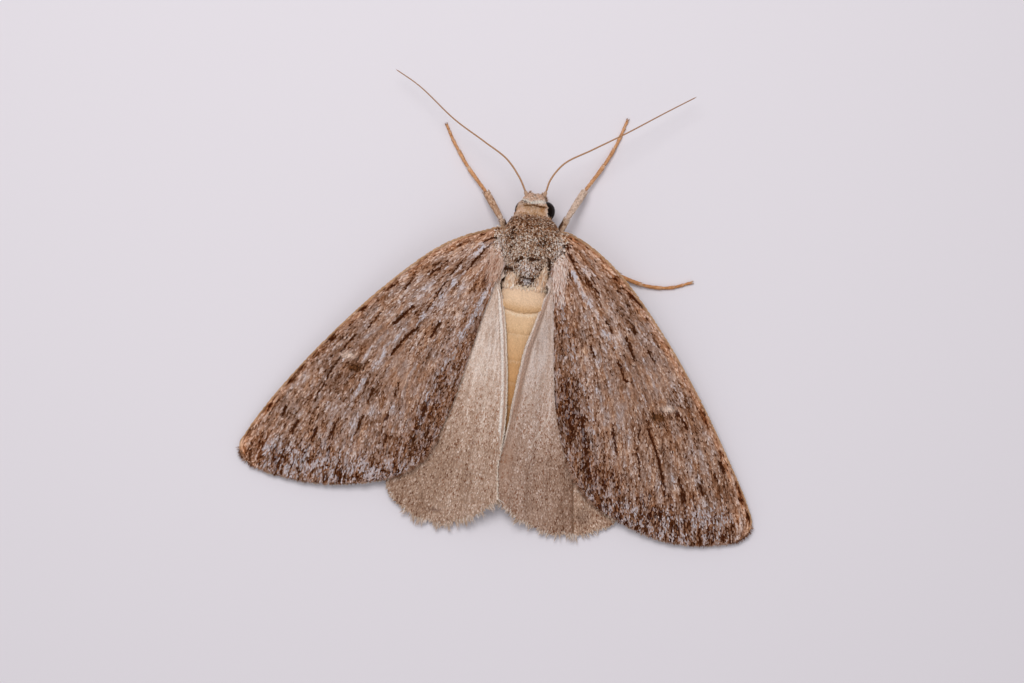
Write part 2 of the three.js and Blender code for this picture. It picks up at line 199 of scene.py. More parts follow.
class Path:
    """A smooth curve through places, sampled by its length (centripetal Catmull-Rom)."""

    SAMPLES = 40

    def __init__(self, places: list) -> None:
        """Runs the curve through the places."""
        knots = np.array(places, float)
        knots = np.vstack([2 * knots[0] - knots[1], knots, 2 * knots[-1] - knots[-2]])
        pieces = [self._piece(*knots[i : i + 4]) for i in range(len(knots) - 3)]
        self.points = np.vstack(pieces + [knots[-2][None]])
        steps = np.linalg.norm(np.diff(self.points, axis=0), axis=1)
        self.length = float(steps.sum())
        self.shares = np.concatenate([[0], np.cumsum(steps)]) / self.length

    def _piece(self, a: Array, b: Array, c: Array, d: Array) -> Array:
        """Samples from b up to c, without c."""
        first, middle, last = (
            max(np.linalg.norm(q - p) ** 0.5, 1e-6) for p, q in ((a, b), (b, c), (c, d))
        )
        leave = ((b - a) / first - (c - a) / (first + middle) + (c - b) / middle) * middle
        reach = ((c - b) / middle - (d - b) / (middle + last) + (d - c) / last) * middle
        s = np.linspace(0, 1, self.SAMPLES, endpoint=False)[:, None]
        hermite = (2 * s**3 - 3 * s**2 + 1) * b + (s**3 - 2 * s**2 + s) * leave
        return hermite + (3 * s**2 - 2 * s**3) * c + (s**3 - s**2) * reach

    def at(self, share: Array) -> Array:
        """The places at shares of the length."""
        share = capped(share)
        columns = [np.interp(share, self.shares, axis) for axis in self.points.T]
        return np.stack(columns, axis=-1)


# ---- Meshes ----
def to_frame(points: Array) -> Array:
    """Points in millimetres in the moth's frame as metres in the shared frame."""
    return (np.asarray(points, float) + (MIDLINE, HINGE_BACK, 0)) * MM


def store(mesh: bpy.types.Mesh, name: str, values: Array) -> None:
    """Keeps three numbers for each point of a mesh, which are a colour where the name is tint."""
    kind, key = "FLOAT_VECTOR", "vector"
    if name == "tint":
        kind, key = "FLOAT_COLOR", "color"
        values = np.column_stack([capped(values), np.ones(len(values))])
    layer = mesh.attributes.new(name, kind, "POINT")
    layer.data.foreach_set(key, np.asarray(values, np.float32).ravel())


def set_out(name: str, data: bpy.types.ID) -> Piece:
    """A new object in the scene."""
    piece = bpy.data.objects.new(name, data)
    bpy.context.scene.collection.objects.link(piece)
    return piece


def make_piece(name: str, points: Array, faces: list, tint: Array, finish: "Finish") -> Piece:
    """A smooth closed piece from points in millimetres.

    Args:
        name: The piece's name.
        points: Its points in the moth's frame.
        faces: Its faces, which point outwards.
        tint: A colour for each point.
        finish: What its surface is finished with.

    Returns:
        The new object.
    """
    mesh = bpy.data.meshes.new(name)
    mesh.from_pydata(to_frame(points).tolist(), [], faces)
    mesh.polygons.foreach_set("use_smooth", [True] * len(mesh.polygons))
    store(mesh, "tint", tint)
    mesh.materials.append(finish.material())
    mesh.update()
    return set_out(name, mesh)


def declare(piece: Piece, slot: str, *nodes: str) -> Piece:
    """Says what a finished piece rides on, and hides the solids that it stands for.

    Args:
        piece: The piece.
        slot: Not used.
        nodes: The solids that it stands for.

    Returns:
        The same piece.
    """
    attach(piece, BODY)
    if nodes:
        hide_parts(*nodes)
    LOG.info("%s: %d faces", piece.name, len(piece.data.polygons))
    return piece


def tube_faces(rings: int, around: int, start: int = 0) -> list:
    """Faces of a tube of rings, closed at both ends on a pole.

    Args:
        rings: How many rings there are.
        around: How many points a ring has.
        start: The number of the first ring's first point; the two poles follow the rings.

    Returns:
        The faces, which point outwards.
    """
    faces = []
    poles = start + rings * around
    for k in range(around):
        turned = (k + 1) % around
        for i in range(rings - 1):
            low, high = start + i * around, start + (i + 1) * around
            faces.append((low + k, high + k, high + turned, low + turned))
        last = start + (rings - 1) * around
        faces.append((poles, start + k, start + turned))
        faces.append((poles + 1, last + turned, last + k))
    return faces


@dataclass
class Tube:
    """A limb, thread or lobe swept along a path, with a round section.

    Attributes:
        path: Places along its middle, in the moth's frame.
        radii: Its radius at even shares of the path.
        rings: How many rings it has.
        around: How many points each ring has.
    """

    path: list
    radii: list
    rings: int = 24
    around: int = 12
    points: Array = field(init=False)
    shares: Array = field(init=False)

    def __post_init__(self) -> None:
        """Works out the rings, which are closer together towards the ends."""
        line = Path(self.path)
        eased = (1 - np.cos(np.linspace(0, np.pi, self.rings + 2)[1:-1])) / 2
        even = 0.7 * np.linspace(0.5, self.rings - 0.5, self.rings) / self.rings
        self.shares = 0.3 * eased + even
        along = unit(line.at(self.shares + 0.01) - line.at(self.shares - 0.01))
        radius = self.radius(self.shares) * self.ends(line.length)
        rings = hoops(line.at(self.shares), *crosswise(along), radius, self.around)
        self.points = np.vstack([rings, line.at(ENDS)])

    def radius(self, share: Array) -> Array:
        """The radius at shares of the path."""
        return np.interp(share, np.linspace(0, 1, len(self.radii)), self.radii)

    def ends(self, length: float) -> Array:
        """How far the rounded ends have opened at each ring."""
        first = capped(self.shares * length / max(self.radii[0], 1e-3))
        last = capped((1 - self.shares) * length / max(self.radii[-1], 1e-3))
        return np.sqrt(1 - (1 - first) ** 2) * np.sqrt(1 - (1 - last) ** 2)

    def faces(self, start: int = 0) -> list:
        """Its faces, for points that begin at a number."""
        return tube_faces(self.rings, self.around, start)

    def roots(self, density: float, size: tuple, seed: int) -> tuple:
        """Small scales that lie along it.

        Args:
            density: How many there are, next to its length and thickness.
            size: A scale's width, length and height.
            seed: The seed of the chance values.

        Returns:
            Their roots, still white, and the roots' shares of the path.
        """
        chance = draws(seed)
        line = Path(self.path)
        count = int(line.length * max(self.radii) * density)
        share, angle = chance.uniform(0, 0.97, count), chance.uniform(0, 2 * np.pi, count)
        along = unit(line.at(share + 0.02) - line.at(share - 0.02))
        across, above = crosswise(along)
        outward = across * np.cos(angle)[:, None] + above * np.sin(angle)[:, None]
        place = line.at(share) + outward * (self.radius(share) * 0.97)[:, None]
        reach = np.array(size) * chance.uniform(0.75, 1.25, (count, 3))
        unwrap = np.column_stack([share, angle / (2 * np.pi)])
        return Roots(place, along, outward, reach, unwrap, np.ones((count, 3))), share


# ---- Finishes ----
class Wiring:
    """A short way to build a material's nodes."""

    def __init__(self, name: str) -> None:
        """Starts the material."""
        self.material = bpy.data.materials.new(name)
        self.material.use_nodes = True
        self.tree = self.material.node_tree
        self.surface = self.tree.nodes["Principled BSDF"]

    def add(self, kind: str, **settings: object) -> bpy.types.Node:
        """A new node with its properties set."""
        node = self.tree.nodes.new(kind)
        for key, value in settings.items():
            setattr(node, key, value)
        return node

    def link(self, output: Socket, target: Socket) -> None:
        """Joins two sockets."""
        self.tree.links.new(output, target)

    def attribute(self, name: str, output: str) -> Socket:
        """What the mesh carries under a name."""
        return self.add("ShaderNodeAttribute", attribute_name=name).outputs[output]

    def part(self, name: str, axis: str) -> Socket:
        """One coordinate of what the mesh carries under a name."""
        parts = self.add("ShaderNodeSeparateXYZ")
        self.link(self.attribute(name, "Vector"), parts.inputs["Vector"])
        return parts.outputs[axis]

    def pattern(self, kind: str, size: float, output: str, **settings: object) -> Socket:
        """A pattern in the piece's own space.

        Args:
            kind: The kind of texture node.
            size: The size of its grains or cells, in millimetres.
            output: Which of its outputs is wanted.
            settings: The node's own properties.

        Returns:
            The output.
        """
        place = self.add("ShaderNodeTexCoord")
        node = self.add(kind, **settings)
        node.inputs["Scale"].default_value = 1 / (size * MM)
        self.link(place.outputs["Object"], node.inputs["Vector"])
        return node.outputs[output]

    def math(self, operation: str, value: Socket, *numbers: float) -> Socket:
        """A sum worked out from a value and numbers."""
        node = self.add("ShaderNodeMath", operation=operation)
        self.link(value, node.inputs[0])
        for place, number in enumerate(numbers, start=1):
            node.inputs[place].default_value = number
        return node.outputs["Value"]

    def stretch(self, value: Socket, low: float, high: float) -> Socket:
        """A value from 0 to 1 brought to between two numbers."""
        node = self.add("ShaderNodeMapRange")
        node.inputs["To Min"].default_value = low
        node.inputs["To Max"].default_value = high
        self.link(value, node.inputs["Value"])
        return node.outputs["Result"]

    def scale_colour(self, colour: Socket, factor: Socket) -> Socket:
        """A colour made lighter or darker by a factor."""
        node = self.add("ShaderNodeVectorMath", operation="SCALE")
        self.link(colour, node.inputs[0])
        self.link(factor, node.inputs["Scale"])
        return node.outputs["Vector"]

    def bump(self, height: Socket, strength: float, depth: float) -> None:
        """Relief on the surface, with its depth in millimetres."""
        node = self.add("ShaderNodeBump")
        node.inputs["Strength"].default_value = strength
        node.inputs["Distance"].default_value = depth * MM
        self.link(height, node.inputs["Height"])
        self.link(node.outputs["Normal"], self.surface.inputs["Normal"])

    def set(self, **values: float) -> None:
        """Sets the surface's own numbers, named with _ for a space."""
        for key, value in values.items():
            self.surface.inputs[key.replace("_", " ")].default_value = value


@dataclass(frozen=True)
class Finish:
    """A skin coloured by its own markings, with a fine grain.

    Attributes:
        name: The material's name.
        roughness: How matt it is.
        specular: How strongly it reflects.
        sheen: How downy it looks at a slant.
        grain: The size of the grain, in millimetres.
        contrast: How far the grain changes the colour.
        relief: How deep the grain is, in millimetres.
        down: How rough the sheen is.
    """

    name: str
    roughness: float = 0.7
    specular: float = 0.3
    sheen: float = 0.0
    grain: float = 0.08
    contrast: float = 0.15
    relief: float = 0.02
    down: float = 0.5

    def material(self) -> bpy.types.Material:
        """The material, made once."""
        return bpy.data.materials.get(self.name) or self.build()

    def build(self) -> bpy.types.Material:
        """Makes the material."""
        wiring = Wiring(self.name)
        grain = wiring.pattern("ShaderNodeTexNoise", self.grain, "Fac")
        factor = wiring.stretch(grain, 1 - self.contrast, 1 + self.contrast)
        colour = wiring.scale_colour(self.colour(wiring), factor)
        wiring.link(colour, wiring.surface.inputs["Base Color"])
        wiring.set(Roughness=self.roughness, Specular_IOR_Level=self.specular)
        wiring.set(Sheen_Weight=self.sheen, Sheen_Roughness=self.down)
        self.emboss(wiring, grain)
        return wiring.material

    def colour(self, wiring: Wiring) -> Socket:
        """The colour of the markings."""
        return wiring.attribute("tint", "Color")

    def emboss(self, wiring: Wiring, grain: Socket) -> None:
        """Gives the surface the relief of its grain."""
        wiring.bump(grain, 0.6, self.relief)


@dataclass(frozen=True)
class CoatFinish(Finish):
    """Scales or hairs: with painted shade towards the root, for the shade between them, and fine ribs
    along each one.

    Attributes:
        root_shade: How light the painted shade at the root is, next to the tip.
        ribs: How many ribs cross a scale.
    """

    down: float = 0.45
    root_shade: float = 0.7
    ribs: float = 5.0

    def colour(self, wiring: Wiring) -> Socket:
        """The colour of the markings, with painted shade towards the root."""
        shade = wiring.stretch(wiring.part("spot", "Y"), self.root_shade, 1.0)
        return wiring.scale_colour(wiring.attribute("tint", "Color"), shade)

    def emboss(self, wiring: Wiring, grain: Socket) -> None:
        """Gives each scale its ribs."""
        wave = wiring.math("MULTIPLY", wiring.part("spot", "X"), self.ribs * 2 * math.pi)
        wiring.bump(wiring.math("SINE", wave), 0.25, self.relief)


@dataclass(frozen=True)
class EyeFinish(Finish):
    """A glossy black eye with a fine honeycomb of facets.

    Attributes:
        facet: The width of a facet, in millimetres.
    """

    facet: float = 0.035

    def emboss(self, wiring: Wiring, grain: Socket) -> None:
        """Gives the eye its facets and a thin clear coat."""
        kind, output = "ShaderNodeTexVoronoi", "Distance"
        facets = wiring.pattern(kind, self.facet, output, feature="DISTANCE_TO_EDGE")
        wiring.bump(facets, 0.12, self.relief)
        wiring.set(Coat_Weight=0.05, Coat_Roughness=0.08)


@dataclass(frozen=True)
class FloorFinish:
    """A plain matt paint.

    Attributes:
        name: The material's name.
        colour: The paint's colour.
    """

    name: str = "pale_paint"
    colour: tuple = (0.80, 0.757, 0.80)

    def material(self) -> bpy.types.Material:
        """Makes the material."""
        wiring = Wiring(self.name)
        wiring.surface.inputs["Base Color"].default_value = (*self.colour, 1)
        wiring.set(Roughness=0.95, Specular_IOR_Level=0.1)
        return wiring.material


WING_SKIN = Finish("wing_skin", roughness=0.75, specular=0.15, grain=0.1, relief=0.01)
BODY_SKIN = Finish("body_skin", roughness=0.8, specular=0.15, grain=0.07, contrast=0.2)
LEG_SKIN = Finish("leg_skin", roughness=0.65, specular=0.1, grain=0.05, contrast=0.18, relief=0.008)
FEELER_SKIN = Finish(
    "feeler_skin", roughness=0.6, specular=0.12, grain=0.05, contrast=0.2, relief=0.006
)
CLAW_HORN = Finish("claw_horn", roughness=0.35, specular=0.5, grain=0.05, relief=0.002)
WING_SCALES = CoatFinish("wing_scales", roughness=0.6, specular=0.05, relief=0.004)
SILKY_SCALES = CoatFinish("silky_scales", roughness=0.5, specular=0.1, relief=0.004, root_shade=0.75)
BODY_FUR = CoatFinish("body_fur", roughness=0.65, specular=0.06, relief=0.003, root_shade=0.6)
GRAINS = CoatFinish("grains", roughness=0.65, specular=0.05, relief=0.003, root_shade=0.3, ribs=3)
SOFT_GRAINS = CoatFinish("soft_grains", roughness=0.65, specular=0.05, relief=0.003, ribs=3)
VELVET = CoatFinish("velvet", roughness=0.65, specular=0.08, sheen=0.05, relief=0.003, root_shade=0.85)
LEG_SCALES = CoatFinish("leg_scales", roughness=0.6, specular=0.05, relief=0.003)
EYE_GLOSS = EyeFinish("eye_gloss", roughness=0.12, specular=0.07, grain=0.3, contrast=0.4, relief=0.004)


# ---- Coats of scales and hairs ----
class Vane(Enum):
    """The shapes that a coat is made of: rings of (half width, place along, height), and a tip."""

    SCALE = "scale"
    HAIR = "hair"
    LOCK = "lock"

    def template(self) -> Piece:
        """The shape's object, of length and width one, lying along +Y. Made once."""
        name = "vane_" + self.value
        known = bpy.data.objects.get(name)
        if known:
            return known
        points, faces = self._scale() if self is Vane.SCALE else self._hair()
        mesh = bpy.data.meshes.new(name)
        mesh.from_pydata(points, [], faces)
        store(mesh, "spot", np.array(points, float) * (1, 1, 0) + (0.5, 0, 0))
        return bpy.data.objects.new(name, mesh)

    def _scale(self) -> tuple:
        """A flat scale: narrow at its root, broad beyond, with a blunt tip and a low ridge."""
        rim = [(0, 0, 0), (0.5, 0.45, 0), (0.36, 0.97, 0), (-0.36, 0.97, 0), (-0.5, 0.45, 0)]
        ridge = len(rim)
        faces = [(k, (k + 1) % ridge, ridge) for k in range(ridge)]
        return rim + [(0, 0.55, 1)], faces + [tuple(reversed(range(ridge)))]

    def _hair(self) -> tuple:
        """A hair of three sides that rises and then droops; a lock has one ring more."""
        stations = [(0.0, 0.35), (0.35, 0.5), (0.7, 0.36)]
        if self is Vane.HAIR:
            stations = [(0.0, 0.5), (0.5, 0.42)]
        points = []
        for along, width in stations:
            rise = 0.3 * along - 0.22 * along**2
            points += [(width, along, rise), (0, along, rise + 0.12 * width), (-width, along, rise)]
        points.append((0, 1, 0.08))
        tip = len(points) - 1
        faces = [(0, 2, 1)]
        for start in range(0, tip - 3, 3):
            for a, b in ((0, 1), (1, 2), (2, 0)):
                faces.append((start + a, start + b, start + 3 + b, start + 3 + a))
        last = tip - 3
        faces += [(last, last + 1, tip), (last + 1, last + 2, tip), (last + 2, last, tip)]
        return points, faces


class CoatTree:
    """The nodes that set one vane on every root, turned along the lie of the coat."""

    NAME = "coat"

    @classmethod
    def tree(cls) -> bpy.types.NodeTree:
        """The node tree, made once."""
        return bpy.data.node_groups.get(cls.NAME) or cls._build()

    @classmethod
    def _build(cls) -> bpy.types.NodeTree:
        """Makes the node tree."""
        tree = bpy.data.node_groups.new(cls.NAME, "GeometryNodeTree")
        for name, direction, kind in (
            ("Roots", "INPUT", "NodeSocketGeometry"),
            ("Vane", "INPUT", "NodeSocketObject"),
            ("Finish", "INPUT", "NodeSocketMaterial"),
            ("Patch", "INPUT", "NodeSocketFloat"),
            ("Coat", "OUTPUT", "NodeSocketGeometry"),
        ):
            tree.interface.new_socket(name=name, in_out=direction, socket_type=kind)
        add = tree.nodes.new

        def named(name: str) -> Socket:
            """What each root carries under a name."""
            node = add("GeometryNodeInputNamedAttribute")
            node.data_type = "FLOAT_VECTOR"
            node.inputs["Name"].default_value = name
            return node.outputs["Attribute"]

        given, result = add("NodeGroupInput"), add("NodeGroupOutput")
        vane = add("GeometryNodeObjectInfo")
        turn = add("FunctionNodeAxesToRotation")
        turn.primary_axis, turn.secondary_axis = "Z", "Y"
        instances = add("GeometryNodeInstanceOnPoints")
        realize = add("GeometryNodeRealizeInstances")
        patch = add("ShaderNodeVectorMath")
        patch.operation = "MULTIPLY_ADD"
        unwrap = add("GeometryNodeStoreNamedAttribute")
        unwrap.data_type, unwrap.domain = "FLOAT2", "CORNER"
        unwrap.inputs["Name"].default_value = "OFBake"
        dress = add("GeometryNodeSetMaterial")
        patch_inputs = (named("spot"), given.outputs["Patch"], named("root"))
        for output, entry in zip(patch_inputs, patch.inputs):
            tree.links.new(output, entry)
        for output, node, entry in (
            (given.outputs["Vane"], vane, "Object"),
            (named("up"), turn, "Primary Axis"),
            (named("lie"), turn, "Secondary Axis"),
            (given.outputs["Roots"], instances, "Points"),
            (vane.outputs["Geometry"], instances, "Instance"),
            (turn.outputs["Rotation"], instances, "Rotation"),
            (named("reach"), instances, "Scale"),
            (instances.outputs["Instances"], realize, "Geometry"),
            (realize.outputs["Geometry"], unwrap, "Geometry"),
            (patch.outputs["Vector"], unwrap, "Value"),
            (unwrap.outputs["Geometry"], dress, "Geometry"),
            (given.outputs["Finish"], dress, "Material"),
            (dress.outputs["Geometry"], result, "Coat"),
        ):
            tree.links.new(output, node.inputs[entry])
        return tree


@dataclass
class Roots:
    """Where the tufts of a coat grow, and how: one row for each tuft.

    Attributes:
        place: The roots, in the moth's frame.
        lie: The directions in which the tufts lie.
        up: The directions in which their upper sides face.
        reach: Their widths, lengths and heights.
        unwrap: The roots' places on the unwrap of the skin, from 0 to 1.
        tint: Their colours.
    """

    place: Array
    lie: Array
    up: Array
    reach: Array
    unwrap: Array
    tint: Array

    @property
    def values(self) -> tuple:
        """All that is known of each root, in order."""
        return self.place, self.lie, self.up, self.reach, self.unwrap, self.tint

    @staticmethod
    def joined(parts: list) -> "Roots":
        """Several coats as one."""
        return Roots(*(np.concatenate(values) for values in zip(*(part.values for part in parts))))

    def kept(self, keep: Array) -> "Roots":
        """Only some of the roots."""
        return Roots(*(value[keep] for value in self.values))

    def lifted(self, angles: Array) -> "Roots":
        """The same roots with their tufts' tips raised, by an angle in radians for each."""
        lie, up = unit(self.lie), unit(self.up)
        up = unit(up - lie * np.sum(lie * up, axis=1, keepdims=True))
        cos, sin = np.cos(angles)[:, None], np.sin(angles)[:, None]
        return replace(self, lie=lie * cos + up * sin, up=up * cos - lie * sin)

    def swirled(self, angles: Array) -> "Roots":
        """The same roots with their tufts turned sideways, by an angle in radians for each."""
        lie, up = unit(self.lie), unit(self.up)
        cos, sin = np.cos(angles)[:, None], np.sin(angles)[:, None]
        return replace(self, lie=lie * cos + np.cross(up, lie) * sin, up=up)

    def leaning(self, direction: Array, share: Array) -> "Roots":
        """The same roots with their tufts leaning towards a direction, by a share for each."""
        lie = self.lie + share[:, None] * np.asarray(direction, float)
        lie = unit(lie - self.up * np.sum(lie * self.up, axis=1, keepdims=True))
        return replace(self, lie=lie)

    def ruffled(self, lifts: tuple, swirl: float, seed: int) -> "Roots":
        """The same roots with their tufts raised and turned at random.

        Args:
            lifts: The least and the greatest lift, in radians.
            swirl: How far they turn sideways, in radians.
            seed: The seed of the chance values.

        Returns:
            The ruffled roots.
        """
        chance = draws(seed)
        count = len(self.place)
        return self.swirled(chance.normal(0, swirl, count)).lifted(chance.uniform(*lifts, count))

    def grow(self, name: str, vane: Vane, finish: Finish) -> Piece:
        """The coat as one plain mesh piece.

        Args:
            name: The piece's name.
            vane: The shape of each tuft.
            finish: What the tufts are finished with.

        Returns:
            The new object.
        """
        mesh = bpy.data.meshes.new(name + "_roots")
        mesh.from_pydata(to_frame(self.place).tolist(), [], [])
        flat = np.column_stack([self.unwrap, np.zeros(len(self.unwrap))])
        carried = {"lie": self.lie, "up": self.up, "reach": self.reach * MM, "root": flat}
        for key, values in {**carried, "tint": self.tint}.items():
            store(mesh, key, values)
        roots = set_out(name + "_roots", mesh)
        modifier = roots.modifiers.new("coat", "NODES")
        modifier.node_group = CoatTree.tree()
        values = {"Vane": vane.template(), "Finish": finish.material(), "Patch": ROOT_PATCH}
        for item in modifier.node_group.interface.items_tree:
            if item.name in values:
                modifier[item.identifier] = values[item.name]
        shaped = roots.evaluated_get(bpy.context.evaluated_depsgraph_get())
        coat = bpy.data.meshes.new_from_object(shaped)
        roots.modifiers.clear()
        bpy.data.objects.remove(roots)
        for spare in carried:
            layer = coat.attributes.get(spare)
            if layer:
                coat.attributes.remove(layer)
        coat.name = name
        return set_out(name, coat)

    def dress(self, name: str, vane: Vane, finish: Finish, slot: str) -> None:
        """Grows the coat as a finished piece."""
        declare(self.grow(name, vane, finish), slot)


# ---- Wings ----
ROOF_HEIGHT = 3.1  # of the layer between the two wings, over the middle of the hinges
EDGE_HEIGHT = 0.2  # the same layer at the forewing's tip
ROOF_REACH = (23.0, 25.0)  # the ellipse, out and back, on which it comes down to that height
ROOF_POWER = 1.25  # how early it comes down
WING_GAP = 0.03  # from that layer to each wing's solid


def roof(out: Array, back: Array) -> Array:
    """Height of the layer between the forewing and the hindwing."""
    share = np.hypot(out / ROOF_REACH[0], back / ROOF_REACH[1])
    return EDGE_HEIGHT + (ROOF_HEIGHT - EDGE_HEIGHT) * np.maximum(1 - share, 0) ** ROOF_POWER


@dataclass(frozen=True)
class Plan:
    """A wing's outline, as (out, back) places.

    Attributes:
        front: The edge from the hinge round the tip.
        inner: The edge from the hinge round the rear corner.
        bulge: How far the outer margin swells backwards.
    """

    front: tuple
    inner: tuple
    bulge: float


FOREWING_PLANS = {
    Side.LEFT: Plan(
        ((0.9, 0.1), (2.05, -0.3), (3.0, 0.02), (4.35, 0.58), (5.95, 1.58), (8.97, 4.45),
         (12.35, 8.45), (15.0, 12.2), (16.47, 14.75), (16.83, 15.6), (16.6, 16.35), (15.6, 17.0)),
        ((0.9, 1.5), (1.6, 2.4), (2.25, 4.6), (2.85, 7.6), (3.5, 10.8), (4.2, 13.2),
         (5.1, 15.1), (6.3, 16.08), (7.5, 16.6)),
        0.66,
    ),
    Side.RIGHT: Plan(
        ((0.9, 0.1), (2.05, -0.5), (3.1, -0.2), (4.5, 0.58), (6.0, 1.72), (8.62, 4.45),
         (11.77, 8.45), (14.5, 12.6), (16.08, 15.3), (16.48, 16.35), (16.25, 17.1), (15.4, 17.75)),
        ((0.9, 1.5), (1.6, 2.4), (2.1, 5.1), (2.55, 8.2), (3.05, 10.9), (3.78, 13.1),
         (4.8, 15.0), (6.2, 16.35), (7.7, 17.1)),
        0.85,
    ),
}
HINDWING_PLANS = {
    Side.LEFT: Plan(
        ((0.9, 1.3), (3.2, 3.2), (5.6, 8.0), (6.75, 12.6), (7.1, 15.4), (7.1, 17.0), (6.6, 17.95)),
        ((0.9, 2.6), (1.62, 3.0), (1.27, 4.3), (0.94, 5.6), (0.68, 6.9), (0.27, 9.56), (0.06, 12.2),
         (0.08, 13.6), (0.16, 14.8), (0.0, 16.1), (-0.14, 17.25)),
        1.75,
    ),
    Side.RIGHT: Plan(
        ((0.9, 1.3), (3.2, 3.2), (5.6, 8.0), (7.1, 12.6), (7.75, 15.5), (7.85, 17.0), (7.45, 17.95)),
        ((0.9, 2.6), (1.56, 3.2), (1.3, 3.96), (0.82, 5.9), (0.51, 7.15), (0.36, 8.53), (0.21, 10.3),
         (0.11, 12.1), (-0.08, 13.6), (-0.34, 14.8), (-0.2, 16.1), (0.0, 17.2)),
        1.45,
    ),
}


@dataclass
class Stroke:
    """A dash or line along a vein.

    Attributes:
        places: Its places as (out, back).
        width: Its half width.
        depth: How strong it is, from 0 to 1.
    """

    places: list
    width: float
    depth: float

    def at(self, out: Array, back: Array) -> Array:
        """How strongly the dash shows at places, from 0 to 1."""
        here = np.column_stack([out, back])
        shown = np.zeros(len(here))
        for a, b in zip(self.places, self.places[1:]):
            a, b = np.array(a), np.array(b)
            reach = b - a
            share = capped((here - a) @ reach / (reach @ reach))
            distance = np.linalg.norm(here - a - share[:, None] * reach, axis=1)
            shown = np.maximum(shown, np.exp(-((distance / self.width) ** 3)))
        return shown * self.depth


def strokes(*rows: tuple) -> list:
    """Strokes from rows of half width, depth and places."""
    return [Stroke(row[2:], row[0], row[1]) for row in rows]


def shown(strokes: list, out: Array, back: Array) -> Array:
    """How strongly any of the strokes shows at places."""
    return np.max([stroke.at(out, back) for stroke in strokes], axis=0)


